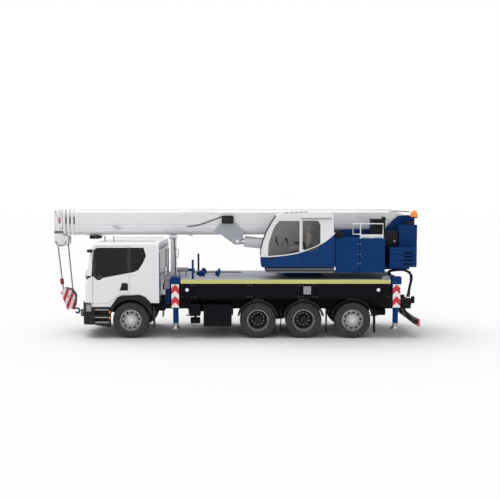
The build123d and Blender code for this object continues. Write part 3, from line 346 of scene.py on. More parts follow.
@dataclass(frozen=True)
class TwoTone(Finish):
    """Operator's cab: white above a sweeping line, blue below it, dark step and grey lining."""

    other: Colour = (0.006, 0.045, 0.168)
    # step is the dark step's colour and also paints the shadow under the door's rail
    step: Colour = (0.045, 0.046, 0.055)
    lining: Colour = (0.55, 0.55, 0.57)
    step_top: float = 2.036
    rail_y: float = -1.2225

    def pattern(self, graph: Graph) -> bpy.types.NodeSocket:
        """Blue below the sweep of the waistline, with the lining inside the shell."""
        x, y, z = graph.split()
        curve = graph.add("ShaderNodeFloatCurve")
        line = curve.mapping.curves[0]
        for place, height in WAIST_LINE[1:-1]:
            line.points.new(*waist_share(place, height))
        line.points[0].location = waist_share(*WAIST_LINE[0])
        line.points[-1].location = waist_share(*WAIST_LINE[-1])
        curve.mapping.update()
        along = graph.span(x, WAIST_LINE[0][0], WAIST_LINE[-1][0], 0.0, 1.0)
        graph.link(along, curve.inputs["Value"])
        height = graph.span(curve.outputs[0], 0.0, 1.0, WAIST_LOW, WAIST_HIGH)
        base = graph.mix(graph.math("LESS_THAN", z, height), self.colour, self.other)
        base = graph.mix(graph.math("LESS_THAN", z, self.step_top), base, self.step)
        # painted shadow under the door's rail, in the step's dark colour
        outside = graph.math("LESS_THAN", y, self.rail_y)
        rail_shadow_mask = graph.math("MULTIPLY", graph.inside(DOOR_RAIL_PAINTED_SHADOW, x, z), outside)
        base = graph.mix(rail_shadow_mask, base, self.step)
        room = graph.math("MULTIPLY", graph.inside(OPERATOR_ROOM, x, z), graph.inside(OPERATOR_WIDTH, y, z))
        return graph.mix(room, base, self.lining)


@dataclass(frozen=True)
class Placed(Finish):
    """A paint with patches and lines of painted shade inside upright outlines."""

    # other and line are the colours of the painted shade
    other: Colour = (0.03, 0.031, 0.035)
    patches: tuple[tuple[Flat, ...], ...] = ()
    beyond: float = 0.0
    lines: tuple[tuple[Flat, ...], ...] = ()
    line: Colour = (0.62, 0.63, 0.655)

    def pattern(self, graph: Graph) -> bpy.types.NodeSocket:
        """Painted shade along each line's outline, and inside each patch's outline on faces farther out than
        a width.
        """
        x, y, z = graph.split()
        outside = graph.math("GREATER_THAN", graph.math("ABSOLUTE", y), self.beyond)
        base: object = self.colour
        for outline in self.lines:
            base = graph.mix(graph.inside(outline, x, z), base, self.line)
        for outline in self.patches:
            mask = graph.math("MULTIPLY", graph.inside(outline, x, z), outside)
            base = graph.mix(mask, base, self.other)
        return base


# outlines of the black round the truck cab's side glass, with the drop and the corner below it
CAB_BANDS = (
    ((-4.035, 1.785), (-3.708, 1.739), (-2.83, 1.905), (-2.70, 1.965), (-2.57, 2.160), (-2.478, 2.367),
     (-2.545, 2.602), (-3.86, 2.602), (-3.975, 2.52)),
    ((-3.99, 1.86), (-3.99, 1.79), (-3.915, 1.715), (-3.875, 1.682), (-3.825, 1.673), (-3.775, 1.690),
     (-3.70, 1.744), (-3.70, 1.86)),
    ((-4.5, 1.70), (-4.16, 1.70), (-4.04, 1.775), (-4.04, 1.80), (-4.5, 1.80)),
)
# black front band over the windscreen's surround; it stops short of the rounded corners, whose strip of white
# paint is a painted highlight on the black corner
CAB_FRONT_BAND = ((-1.1, 1.72), (1.1, 1.72), (1.06, 2.56), (-1.06, 2.56))
# narrow outlines of the lines pressed into the truck cab's sides, along which their shade is painted
CAB_CREASES = (
    ((-4.10, 1.452), (-3.47, 1.612), (-3.47, 1.620), (-4.10, 1.460)),
    ((-3.40, 1.806), (-2.12, 1.832), (-2.12, 1.840), (-3.40, 1.814)),
    ((-2.262, 1.10), (-2.254, 1.10), (-2.254, 2.66), (-2.262, 2.66)),
)
CAB_REAR_X = -2.1165

# inside of the operator's cab, from the side and across, and the shadow line of the door's rail
OPERATOR_ROOM = (
    (0.86, 2.07), (0.815, 2.30), (0.835, 2.56), (0.99, 3.04), (1.14, 3.32), (1.36, 3.53), (2.77, 3.565),
    (2.81, 3.10), (2.86, 2.86), (2.86, 2.07),
)
OPERATOR_WIDTH = ((-1.20, 2.0), (-0.42, 2.0), (-0.42, 3.7), (-1.20, 3.7))
DOOR_RAIL_PAINTED_SHADOW = ((1.92, 3.412), (2.78, 3.412), (2.78, 3.436), (1.92, 3.436))

# x and height of the operator's cab's waistline, from the front
WAIST_LINE = [
    (0.75, 2.339), (1.055, 2.345), (1.50, 2.385), (1.80, 2.440), (2.05, 2.510), (2.31, 2.610),
    (2.55, 2.735), (2.75, 2.880), (2.90, 3.030),
]
WAIST_LOW = 2.3
WAIST_HIGH = 3.1


def waist_share(place: float, height: float) -> Flat:
    """A waistline point as shares of its span and of its height range."""
    start, end = WAIST_LINE[0][0], WAIST_LINE[-1][0]
    return ((place - start) / (end - start), (height - WAIST_LOW) / (WAIST_HIGH - WAIST_LOW))


DUST = (0.16, 0.15, 0.135)
WHITE_RGB = (0.84, 0.85, 0.865)
BLUE_RGB = (0.003, 0.040, 0.160)
RED_RGB = (0.62, 0.02, 0.035)
PALE_RGB = (0.78, 0.78, 0.79)

WHITE = Finish("white_paint", WHITE_RGB, rough=0.3, coat=0.4, spec=0.4, mottle=0.006)
CAB_WHITE = Surround("cab_white_paint", WHITE_RGB, rough=0.28, coat=0.25, spec=0.4, mottle=0.008)
OPERATOR_PAINT = TwoTone("operator_cab_paint", WHITE_RGB, rough=0.34, spec=0.08, mottle=0.01)
# boom head: white paint with painted shade in the recess band below the head plate and in its top front
# corner
HEAD_PAINT_AND_SHADE = Placed("boom_head_paint_and_shade", WHITE_RGB, rough=0.32, coat=0.3, spec=0.4, other=(0.13, 0.14, 0.155),
                    patches=(((-5.36, 2.955), (-5.0, 2.955), (-5.0, 3.035), (-5.36, 3.035)),
                             ((-5.36, 3.56), (-5.285, 3.60), (-5.30, 3.66), (-5.36, 3.66))), beyond=0.15)
# boom base: white paint with painted shade on the lift bracket's plates, along the bends of its sides and on
# its lowest bend
BOOM_WHITE_AND_SHADE = Placed("boom_paint_and_shade", WHITE_RGB, rough=0.3, coat=0.4, spec=0.4, other=(0.40, 0.42, 0.465),
                    patches=(((-0.61, 3.03), (-0.38, 3.30), (0.05, 3.30), (0.31, 3.01)),
                             ((-0.61, 3.03), (0.31, 3.01), (0.295, 2.92), (-0.43, 2.95)),
                             ((-0.43, 2.951), (0.296, 2.921), (0.20, 2.62), (0.02, 2.62))), beyond=0.2685,
                    lines=tuple(((-4.72, low), (4.5, low), (4.5, high), (-4.72, high))
                                for low, high in ((3.227, 3.240), (3.089, 3.101), (2.90, 3.02))))
BLUE = Finish("blue_paint", BLUE_RGB, rough=0.36, spec=0.08, mottle=0.03)
CHASSIS = Finish("chassis_black", (0.010, 0.010, 0.011), rough=0.55, spec=0.15, mottle=0.1, dust=0.18,
                 grain=0.0004)
PLASTIC = Finish("black_plastic", (0.012, 0.0125, 0.014), rough=0.55, spec=0.22, mottle=0.08, grain=0.0003,
                 dust=0.08)
SKIRT = Finish("skirt_black", (0.0075, 0.008, 0.011), rough=0.42, spec=0.04, mottle=0.06, dust=0.06)
RUBBER = Finish("tyre_rubber", (0.052, 0.052, 0.055), rough=0.75, spec=0.2, mottle=0.12, mottle_scale=6.0,
                grain=0.0006, grain_scale=140.0, dust=0.15)
SILVER = Finish("wheel_silver", (0.62, 0.63, 0.64), rough=0.3, metal=0.75, mottle=0.03)
# dark grey that paints the shade in the twin rims' deep dish, and colours the hub cap's bolts
HUB_GREY_AND_DISH_SHADE = Finish("hub_grey_and_dish_shade", (0.17, 0.17, 0.18), rough=0.45, metal=0.2, spec=0.4, mottle=0.08)
# black of the hubs, and also the painted shade behind a single wheel's disc
HUB_BLACK_AND_SHADE = Finish("hub_black_and_shade", (0.012, 0.012, 0.013), rough=0.45, spec=0.2, mottle=0.1, dust=0.05)
STEEL = Finish("bare_steel", (0.38, 0.38, 0.39), rough=0.36, metal=1.0, mottle=0.06)
CHROME = Finish("hard_chrome", (0.72, 0.72, 0.74), rough=0.12, metal=1.0, mottle=0.01)
ALLOY = Finish("tread_alloy", (0.52, 0.53, 0.55), rough=0.4, metal=0.5, mottle=0.04, grain=0.0006,
               grain_scale=90.0)
ROPE = Finish("wire_rope", (0.16, 0.16, 0.165), rough=0.42, metal=0.6, mottle=0.2, mottle_scale=60.0)
DECK = Finish("deck_grey", (0.36, 0.37, 0.42), rough=0.6, spec=0.25, mottle=0.05, grain=0.001,
              grain_scale=60.0)
YELLOW = Finish("yellow_tape", (0.66, 0.64, 0.25), rough=0.4, spec=0.2, mottle=0.02)
CAB_GLASS = Glass("cab_glass", (0.016, 0.018, 0.021), rough=0.05, spec=0.15, mottle=0.01, alpha=0.88)
CLEAR_GLASS = Glass("operator_glass", (0.03, 0.033, 0.036), rough=0.03, spec=0.3, mottle=0.01, alpha=0.16)
CLOTH = Finish("seat_cloth", (0.045, 0.046, 0.05), rough=0.9, spec=0.2, mottle=0.1, grain=0.0015,
               grain_scale=420.0)
BEIGE = Finish("seat_beige", (0.47, 0.43, 0.36), rough=0.8, spec=0.2, mottle=0.06, grain=0.001,
               grain_scale=300.0)
DARK_TRIM = Finish("dark_trim", (0.03, 0.031, 0.034), rough=0.5, spec=0.25, mottle=0.08, grain=0.0004)
SHADOW = Finish("seam_shadow", (0.004, 0.006, 0.010), rough=0.8, spec=0.05, mottle=0.1)
PALE_TRIM = Finish("pale_trim", (0.55, 0.56, 0.57), rough=0.4, spec=0.3, mottle=0.04)
PANEL_GREY = Finish("panel_grey", (0.34, 0.35, 0.39), rough=0.5, spec=0.3, mottle=0.04)
CAST = Finish("cast_grey", (0.07, 0.07, 0.075), rough=0.6, metal=0.2, spec=0.3, mottle=0.12, dust=0.1,
              grain=0.001)
HOOK_STRIPES = Striped("hook_stripes", RED_RGB, other=PALE_RGB, pitch=0.185, lean=-0.40, spec=0.25)
RED_PAINT = Finish("red_paint", (0.36, 0.03, 0.03), rough=0.45, spec=0.25, mottle=0.1, mottle_scale=9.0)
# the lenses and reflectors below shine a little of themselves: painted light
RED_LENS = Lens("red_lens", (0.55, 0.02, 0.02), rough=0.12, coat=0.4, mottle=0.03)
ROSE_LENS = Lens("rose_reflector", (0.50, 0.14, 0.16), rough=0.2, coat=0.3, mottle=0.03, painted_glow=0.1)
AMBER_LENS = Lens("amber_lens", (0.80, 0.22, 0.01), rough=0.15, coat=0.4, mottle=0.03, painted_glow=0.3)
CLEAR_LENS = Lens("clear_lens", (0.26, 0.27, 0.29), rough=0.08, coat=0.6, mottle=0.02, painted_glow=0.04)
MARKER_LENS = Lens("marker_lens", (0.75, 0.76, 0.76), rough=0.2, coat=0.3, mottle=0.02, painted_glow=0.1)
HOSE = Finish("hose_black", (0.012, 0.012, 0.013), rough=0.5, spec=0.25, mottle=0.1)
LOUVRE = Finish("cooler_black", (0.014, 0.014, 0.016), rough=0.6, spec=0.2, mottle=0.1, dust=0.1)


def rotate_pair(pair: Flat, angle: float) -> Flat:
    """A pair turned anticlockwise about the origin, by an angle in radians."""
    c, s = math.cos(angle), math.sin(angle)
    return (pair[0] * c - pair[1] * s, pair[0] * s + pair[1] * c)


def around(count: int, turn: float = 0.0) -> list[Flat]:
    """Cosine and sine of angles evenly round a circle, moved on by a share of a step."""
    angles = (2 * math.pi * (i + turn) / count for i in range(count))
    return [(math.cos(a), math.sin(a)) for a in angles]


def sided(side: float, inner: float, outer: float) -> Flat:
    """Low and high Y of a span on one side, from its distances to the middle."""
    low, high = sorted((side * inner, side * outer))
    return (low, high)


def bend(points: Sequence[Point], steps: int = 6) -> list[Point]:
    """A smooth line through a few given points.

    Args:
        points: the points the line passes through.
        steps: how many short runs stand between two of them.

    Returns:
        The points of the smooth line.
    """
    line = [Vector(p) for p in points]
    line = [line[0] * 2 - line[1], *line, line[-1] * 2 - line[-2]]
    out = []
    for a, b, c, d in zip(line, line[1:], line[2:], line[3:]):
        for i in range(steps):
            t = i / steps
            out.append(0.5 * (2 * b + (c - a) * t + (2 * a - 5 * b + 4 * c - d) * t * t
                              + (3 * b - a - 3 * c + d) * t ** 3))
    return [tuple(p) for p in [*out, line[-2]]]


class Shape:
    """One piece of the model while its mesh is being made."""

    def __init__(self, name: str) -> None:
        """Starts an empty mesh."""
        self.name = name
        self.mesh = bmesh.new()
        self.finishes: list[Finish] = []

    def take(self, part: bmesh.types.BMesh, finish: Finish, soft: float = 0.0, steps: int = 2) -> None:
        """Adds a part with its edges rounded.

        Args:
            part: the part's own mesh, freed here.
            finish: what it is finished in.
            soft: radius of its edges.
            steps: segments across a rounded edge.
        """
        bmesh.ops.recalc_face_normals(part, faces=part.faces)
        if soft > 0:
            edges = [e for e in part.edges if len(e.link_faces) == 2 and e.calc_face_angle(0.0) > 0.5]
            bmesh.ops.bevel(part, geom=edges, offset=soft, segments=steps, profile=0.6,
                            affect="EDGES", clamp_overlap=True)
        if finish not in self.finishes:
            self.finishes.append(finish)
        for face in part.faces:
            face.material_index = self.finishes.index(finish)
            face.smooth = True
        spare = bpy.data.meshes.new("spare")
        part.to_mesh(spare)
        part.free()
        self.mesh.from_mesh(spare)
        bpy.data.meshes.remove(spare)

    def prism(self, outline: Sequence[Flat], axis: Axis, low: float, high: float, finish: Finish,
              soft: float = 0.0) -> None:
        """Adds an outline drawn across an axis, carried from low to high along it."""
        part = bmesh.new()
        rings = [[part.verts.new(axis.place(end, pair)) for pair in outline] for end in (low, high)]
        part.faces.new(rings[0])
        part.faces.new(rings[1])
        for i in range(len(outline)):
            j = (i + 1) % len(outline)
            part.faces.new((rings[0][i], rings[0][j], rings[1][j], rings[1][i]))
        self.take(part, finish, soft)

    def box(self, low: Point, high: Point, finish: Finish, soft: float = 0.0) -> None:
        """Adds a box between two corners."""
        outline = [(low[1], low[2]), (high[1], low[2]), (high[1], high[2]), (low[1], high[2])]
        self.prism(outline, Axis.X, low[0], high[0], finish, soft)

    def lathe(self, profile: Sequence[Flat], axis: Axis, centre: Point, finish: Finish,
              sides: int = 48, flip: float = 1.0) -> None:
        """Adds a turned form.

        Args:
            profile: pairs of distance along the axis and radius, open or ending on the axis.
            axis: the axis it is turned about.
            centre: the point that distances are taken from.
            finish: what it is finished in.
            sides: how many faces go round.
            flip: -1 turns the profile's direction round.
        """
        part = bmesh.new()
        base = list(centre)
        rings = []
        for along, radius in profile:
            across = [v for i, v in enumerate(base) if i != axis.value]
            where = base[axis.value] + along * flip
            if radius < 1e-6:
                rings.append([part.verts.new(axis.place(where, (across[0], across[1])))] * sides)
                continue
            rings.append([part.verts.new(axis.place(where, (across[0] + radius * c, across[1] + radius * s)))
                          for c, s in around(sides)])
        for first, second in zip(rings, rings[1:]):
            for i in range(sides):
                j = (i + 1) % sides
                corners = dict.fromkeys((first[i], first[j], second[j], second[i]))
                if len(corners) > 2:
                    part.faces.new(list(corners))
        self.take(part, finish)

    def tube(self, points: Sequence[Point], radius: float, finish: Finish, sides: int = 8,
             closed: bool = False) -> None:
        """Adds a round bar, pipe or rope along a line of points."""
        line = [Vector(p) for p in points]
        part = bmesh.new()
        count = len(line)
        rings = []
        side = None
        for i, point in enumerate(line):
            before = line[i - 1] if i > 0 or closed else point
            after = line[(i + 1) % count] if i < count - 1 or closed else point
            run = (after - before).normalized()
            if side is None:
                side = run.orthogonal().normalized()
            side = (side - run * side.dot(run)).normalized()
            up = run.cross(side)
            rings.append([part.verts.new(point + (side * c + up * s) * radius) for c, s in around(sides)])
        pairs = list(zip(rings, rings[1:]))
        if closed:
            pairs.append((rings[-1], rings[0]))
        else:
            part.faces.new(rings[0])
            part.faces.new(rings[-1])
        for first, second in pairs:
            for k in range(sides):
                n = (k + 1) % sides
                part.faces.new((first[k], first[n], second[n], second[k]))
        self.take(part, finish)

    def rod(self, start: Point, end: Point, radius: float, finish: Finish, sides: int = 16) -> None:
        """Adds a straight round bar."""
        self.tube([start, end], radius, finish, sides)

    def bolt(self, centre: Point, axis: Axis, out: float, size: float, finish: Finish) -> None:
        """Adds a hexagon bolt head that stands out along an axis by out."""
        across = [v for i, v in enumerate(centre) if i != axis.value]
        outline = [(across[0] + size * c, across[1] + size * s) for c, s in around(6)]
        low, high = sorted((centre[axis.value], centre[axis.value] + out))
        self.prism(outline, axis, low, high, finish, size * 0.12)

    def make(self, body: str, replaces: Iterable[str] = (), slot: str = "",
             sharp: float = 38.0) -> bpy.types.Object:
        """Turns the mesh into a piece that rides on a body.

        Args:
            body: the body it rides on.
            replaces: CAD nodes that it stands for.
            slot: not used.
            sharp: angle in degrees above which an edge stays sharp.

        Returns:
            The finished object.
        """
        mesh = bpy.data.meshes.new(self.name)
        self.mesh.to_mesh(mesh)
        self.mesh.free()
        for finish in self.finishes:
            mesh.materials.append(finish.material())
        mesh.set_sharp_from_angle(angle=math.radians(sharp))
        piece = bpy.data.objects.new(self.name, mesh)
        bpy.context.scene.collection.objects.link(piece)
        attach(piece, body)
        if replaces:
            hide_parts(*replaces)
        LOG.info("%s on %s, %d faces", self.name, body, len(mesh.polygons))
        return piece


@dataclass(frozen=True)
class Zone:
    """A box in the row frame whose faces on a node get a finish of their own."""

    finish: Finish
    low: Point
    high: Point

    def holds(self, centre: Vector) -> bool:
        """True if a face centre, folded onto the +Y side, lies in the zone."""
        place = (centre.x, abs(centre.y), centre.z)
        return all(a <= p <= b for a, p, b in zip(self.low, place, self.high))


class Dresser:
    """Gives the frame's own nodes their finishes and smooth curves."""

    def node(self, name: str, finish: Finish, zones: Sequence[Zone] = (), angle: float = 30.0) -> None:
        """Finishes one node.

        Args:
            name: the node's name.
            finish: its main finish.
            zones: places on it with another finish.
            angle: edges flatter than this many degrees shade smoothly.
        """
        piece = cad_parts[name]
        mesh = piece.data
        mesh.materials.clear()
        kinds = [finish, *(zone.finish for zone in zones)]
        for kind in kinds:
            mesh.materials.append(kind.material())
        for face in mesh.polygons:
            face.material_index = 0
            for i, zone in enumerate(zones, start=1):
                if zone.holds(face.center):
                    face.material_index = i
        if "custom_normal" in mesh.attributes:
            mesh.attributes.remove(mesh.attributes["custom_normal"])
        mesh.shade_smooth()
        weld = piece.modifiers.new("weld", "WELD")
        weld.merge_threshold = 0.00002
        split = piece.modifiers.new("split", "EDGE_SPLIT")
        split.split_angle = math.radians(angle)
        LOG.info("node %s dressed", name)

    def several(self, names: Iterable[str], finish: Finish, zones: Sequence[Zone] = ()) -> None:
        """Finishes like nodes in one way."""
        for name in names:
            self.node(name, finish, zones)


@dataclass
class Studio:
    """Camera at the photograph's angle, pale floor and soft light."""

    camera_at: Point = (0.475, -20.847, 3.981)
    camera_pitch: float = 4.203
    lens: float = 50.0
    sun_strength: float = 1.7
    horizon_light: float = 0.65
    zenith_light: float = 0.70
    floor_albedo: float = 0.85
    floor_seen: float = 0.83
    floor_half: float = 150.0
    sun_angle: float = 55.0
    sun_from: Point = (-0.3, 0.12, 1.0)

    def camera(self) -> None:
        """Sets the camera up."""
        data = bpy.data.cameras.new("camera")
        data.lens = self.lens
        data.sensor_width = 36.0
        data.clip_end = 400.0
        camera = bpy.data.objects.new("camera", data)
        camera.location = self.camera_at
        camera.rotation_euler = (math.radians(90 - self.camera_pitch), 0.0, 0.0)
        bpy.context.scene.collection.objects.link(camera)
        bpy.context.scene.camera = camera

    def seen_rays(self, graph: Graph) -> bpy.types.NodeSocket:
        """1 for rays that come from the camera, or from it by gloss or glass."""
        path = graph.add("ShaderNodeLightPath").outputs
        near = graph.math("MAXIMUM", path["Is Camera Ray"], path["Is Glossy Ray"])
        return graph.math("MAXIMUM", near, path["Is Transmission Ray"])

    def floor(self) -> None:
        """Lays the floor, white where the light falls freely."""
        material = bpy.data.materials.new("floor")
        graph = Graph(material)
        shader = graph.shader.inputs
        lit = (self.floor_albedo,) * 3
        graph.feed(shader["Base Color"], graph.mix(self.seen_rays(graph), lit, (self.floor_seen,) * 3))
        shader["Roughness"].default_value = 0.9
        shader["Specular IOR Level"].default_value = 0.0
        mesh = bpy.data.meshes.new("floor")
        half = self.floor_half
        corners = [(-half, -half, 0), (half, -half, 0), (half, half, 0), (-half, half, 0)]
        mesh.from_pydata(corners, [], [(0, 1, 2, 3)])
        mesh.materials.append(material)
        floor = bpy.data.objects.new("floor", mesh)
        bpy.context.scene.collection.objects.link(floor)

    def sky(self) -> None:
        """White surroundings, plain to the camera, whose light comes mostly from above."""
        world = bpy.data.worlds.new("studio")
        bpy.context.scene.world = world
        graph = Graph(world)
        height = graph.split()[2]
        light = graph.add("ShaderNodeBackground")
        seen = graph.add("ShaderNodeBackground")
        graph.feed(light.inputs["Strength"],
                   graph.span(height, 0.0, 1.0, self.horizon_light, self.zenith_light))
        for background in (light, seen):
            background.inputs["Color"].default_value = (1.0, 1.0, 1.0, 1.0)
        mix = graph.add("ShaderNodeMixShader")
        graph.link(self.seen_rays(graph), mix.inputs[0])
        graph.link(light.outputs[0], mix.inputs[1])
        graph.link(seen.outputs[0], mix.inputs[2])
        graph.link(mix.outputs[0], graph.output.inputs[0])

    def sun(self) -> None:
        """One broad lamp high on the camera's left."""
        data = bpy.data.lights.new("sun", "SUN")
        data.energy = self.sun_strength
        data.angle = math.radians(self.sun_angle)
        lamp = bpy.data.objects.new("sun", data)
        lamp.rotation_euler = Vector(self.sun_from).to_track_quat("Z", "Y").to_euler()
        bpy.context.scene.collection.objects.link(lamp)

    def build(self) -> None:
        """Sets the whole studio up."""
        self.camera()
        self.floor()
        self.sky()
        self.sun()
        bpy.context.scene.view_settings.view_transform = "Standard"


@dataclass
class Tyres:
    """Road tyres with a ribbed tread and ringed sidewalls."""

    radius: float = 0.52
    half_width: float = 0.15
    bead: float = 0.291
    pitches: int = 56
    groove: float = 0.011
    groove_slope: float = 0.0015
    crown_drop: float = 0.006
    rib_edges: tuple[float, ...] = (0.122, 0.084, 0.074, 0.031, 0.021)

    def side_profile(self) -> list[Flat]:
        """Half section from the bead to the shoulder, as (offset, radius)."""
        w = self.half_width
        return [
            (w - 0.042, self.bead), (w - 0.020, self.bead + 0.006), (w - 0.010, self.bead + 0.024),
            (w - 0.004, self.bead + 0.052), (w - 0.001, self.bead + 0.060), (w, self.bead + 0.092),
            (w - 0.001, self.bead + 0.118), (w - 0.0045, self.bead + 0.121), (w - 0.005, 0.468),
            (w - 0.010, 0.484), (w - 0.007, 0.489), (w - 0.014, 0.502), (w - 0.022, self.radius - 0.010),
        ]

    def rows(self) -> list[tuple[float, float, bool, bool]]:
        """Section across the tyre: offset, radius, is a groove floor, is a lug row."""
        side = [(y, r, False, False) for y, r in self.side_profile()]
        tread = []
        for i, edge in enumerate(self.rib_edges):
            lug = i < 2
            crown = self.radius - self.crown_drop * (edge / self.rib_edges[0]) ** 2
            if i == 0:
                tread.append((edge, crown, False, lug))
                continue
            floor_row, rib_row = (crown - self.groove, True, False), (crown, False, lug)
            first, second = (floor_row, rib_row) if i % 2 == 0 else (rib_row, floor_row)
            tread += [(edge, *first), (edge - self.groove_slope, *second)]
        half = side + tread
        return half + [(-y, r, g, lug) for y, r, g, lug in reversed(half)]

    def build(self, shape: Shape, centre: Point) -> None:
        """Adds one tyre to a shape."""
        part = bmesh.new()
        rows = self.rows()
        columns = []
        for i in range(self.pitches):
            for share, cut in ((0.0, False), (0.04, True), (0.26, True), (0.30, False)):
                columns.append((2 * math.pi * (i + share) / self.pitches, cut))
        grid = []
        for angle, cut in columns:
            ring = []
            for y, r, _, lug in rows:
                depth = self.groove if cut and lug else 0.0
                reach = r - depth
                ring.append(part.verts.new((centre[0] + reach * math.cos(angle), centre[1] + y,
                                            centre[2] + reach * math.sin(angle))))
            grid.append(ring)
        for first, second in zip(grid, [*grid[1:], grid[0]]):
            for k in range(len(rows) - 1):
                part.faces.new((first[k], first[k + 1], second[k + 1], second[k]))
        shape.take(part, RUBBER)


@dataclass
class Rim:
    """A steel disc wheel with hand holes and a ring of nuts."""

    face: Finish
    profile: list[Flat]
    hole_rows: tuple[float, float]
    holes: int = 10
    nuts: int = 10
    nut_circle: float = 0.1675
    nut_face: float = 0.0
    steps_per_hole: int = 12

    def disc(self, shape: Shape, centre: Point, side: Side) -> None:
        """Adds the pressed disc, open at its hand holes."""
        part = bmesh.new()
        count = self.holes * self.steps_per_hole
        grid = []
        for along, radius in self.profile:
            grid.append([part.verts.new((centre[0] + radius * c, centre[1] + side.value * along,
                                         centre[2] + radius * s)) for c, s in around(count)])
        low, high = self.hole_rows
        for (_, r0), (_, r1), first, second in zip(self.profile, self.profile[1:], grid, grid[1:]):
            middle = (r0 + r1) / 2
            edge = min(high - middle, middle - low) < (high - low) * 0.22
            reach = 2 if edge else 3
            for i in range(count):
                place = i % self.steps_per_hole
                if low < middle < high and place < 2 * reach and not (edge and place == 0):
                    continue
                j = (i + 1) % count
                part.faces.new((first[i], first[j], second[j], second[i]))
        bmesh.ops.solidify(part, geom=part.faces[:], thickness=0.009)
        shape.take(part, self.face)

    def ring(self, shape: Shape, centre: Point, outer: float, side: Side) -> None:
        """Adds the rim's barrel and its rolled flange."""
        inner = outer - 0.3
        profile = [
            (inner + 0.036, 0.292), (inner + 0.034, 0.300), (inner + 0.028, 0.300), (inner + 0.026, 0.288),
            (inner + 0.07, 0.284), (inner + 0.10, 0.262), (outer - 0.12, 0.262), (outer - 0.08, 0.284),
            (outer - 0.046, 0.285), (outer - 0.024, 0.285), (outer - 0.012, 0.291), (outer - 0.014, 0.300),
            (outer - 0.026, 0.300), (outer - 0.034, 0.292),
        ]
        shape.lathe(profile, Axis.Y, centre, SILVER, 72, side.value)

    def nut_ring(self, shape: Shape, centre: Point, side: Side) -> None:
        """Adds the nuts on their studs."""
        at = side.value * self.nut_face
        for c, s in around(self.nuts, 0.5):
            x, z = centre[0] + self.nut_circle * c, centre[2] + self.nut_circle * s
            shape.bolt((x, at, z), Axis.Y, side.value * 0.026, 0.019, STEEL)
            shape.rod((x, at, z), (x, at + side.value * 0.036, z), 0.011, STEEL, 8)


@dataclass
class Wheels:
    """Eight road wheels, single in front and last, twins on the two driven axles."""

    outer: float = 1.195
    twin_gap: float = 0.04
    width: float = 0.3
    cap_circle: float = 0.085
    tyres: Tyres = field(default_factory=Tyres)

    def start(self, name: str) -> tuple[Shape, Point]:
        """A wheel's empty shape, and the point of its axle over the vehicle's middle line."""
        low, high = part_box(name)
        return Shape(f"{name}_dressed"), ((low.x + high.x) / 2, 0.0, (low.z + high.z) / 2)

    def single(self, name: str, side: Side) -> None:
        """Builds a steered wheel with its full face."""
        shape, centre = self.start(name)
        middle = side.value * (self.outer - self.width / 2)
        self.tyres.build(shape, (centre[0], middle, centre[2]))
        face = self.outer - 0.066
        profile = [
            (face - 0.030, 0.286), (face - 0.004, 0.279), (face, 0.268), (face + 0.004, 0.256),
            (face + 0.006, 0.246), (face + 0.007, 0.232), (face + 0.008, 0.218), (face + 0.008, 0.206),
            (face + 0.004, 0.197), (face + 0.002, 0.140), (face + 0.002, 0.095),
        ]
        rim = Rim(SILVER, profile, (0.204, 0.258), nut_face=face + 0.003)
        rim.ring(shape, centre, self.outer, side)
        rim.disc(shape, centre, side)
        rim.nut_ring(shape, centre, side)
        hub = [
            (face - 0.02, 0.138), (face + 0.012, 0.136), (face + 0.016, 0.130), (face + 0.016, 0.104),
            (face + 0.022, 0.100), (face + 0.040, 0.094), (face + 0.048, 0.084), (face + 0.048, 0.046),
            (face + 0.053, 0.040), (face + 0.053, 0.0),
        ]
        shape.lathe(hub, Axis.Y, centre, SILVER, flip=side.value)
        # black sheet behind the disc: painted shade in the hand holes and in the ring under the flange
        shape.lathe([(face - 0.03, 0.28), (face - 0.035, 0.1)], Axis.Y, centre, HUB_BLACK_AND_SHADE, flip=side.value)
        shape.make(name, [name], "tyre_rubber")

    def twin(self, name: str, side: Side) -> None:
        """Builds a pair of tyres on back-to-back dished rims."""
        shape, centre = self.start(name)
        inner = self.outer - self.width - self.twin_gap
        for edge in (self.outer, inner):
            middle = side.value * (edge - self.width / 2)
            self.tyres.build(shape, (centre[0], middle, centre[2]))
        seat = inner + self.twin_gap / 2
        profile = [
            (self.outer - 0.120, 0.262), (seat + 0.150, 0.258), (seat + 0.110, 0.252), (seat + 0.080, 0.244),
            (seat + 0.056, 0.234), (seat + 0.036, 0.222), (seat + 0.022, 0.210), (seat + 0.016, 0.202),
            (seat + 0.014, 0.140), (seat + 0.014, 0.12),
        ]
        # the twin rims' dish is painted dark grey: painted shade of its depth
        rim = Rim(HUB_GREY_AND_DISH_SHADE, profile, (0.206, 0.250), nut_face=seat + 0.02)
        rim.ring(shape, centre, self.outer, side)
        rim.ring(shape, centre, inner, side)
        rim.disc(shape, centre, side)
        rim.nut_ring(shape, centre, side)
        # back of the dish, in the same painted shade
        back = [(seat - 0.008, 0.20), (seat - 0.09, 0.262), (seat - 0.10, 0.262)]
        shape.lathe(back, Axis.Y, centre, HUB_GREY_AND_DISH_SHADE, flip=side.value)
        hub = [
            (seat - 0.14, 0.165), (seat + 0.030, 0.165), (seat + 0.034, 0.140), (seat + 0.120, 0.135),
            (seat + 0.150, 0.128), (seat + 0.186, 0.118), (seat + 0.206, 0.098), (seat + 0.214, 0.070),
            (seat + 0.214, 0.0),
        ]
        shape.lathe(hub, Axis.Y, centre, HUB_BLACK_AND_SHADE, flip=side.value)
        for c, s in around(5):
            at = (centre[0] + self.cap_circle * c, side.value * (seat + 0.205),
                  centre[2] + self.cap_circle * s)
            shape.bolt(at, Axis.Y, side.value * 0.008, 0.01, HUB_GREY_AND_DISH_SHADE)
        shape.make(name, [name], "tyre_rubber")

    def build(self) -> None:
        """Builds all eight."""
        for side in Side:
            for axle in (1, 4):
                self.single(f"wheel_{axle}_{side.word}", side)
            for axle in (2, 3):
                self.twin(f"wheel_{axle}_{side.word}", side)


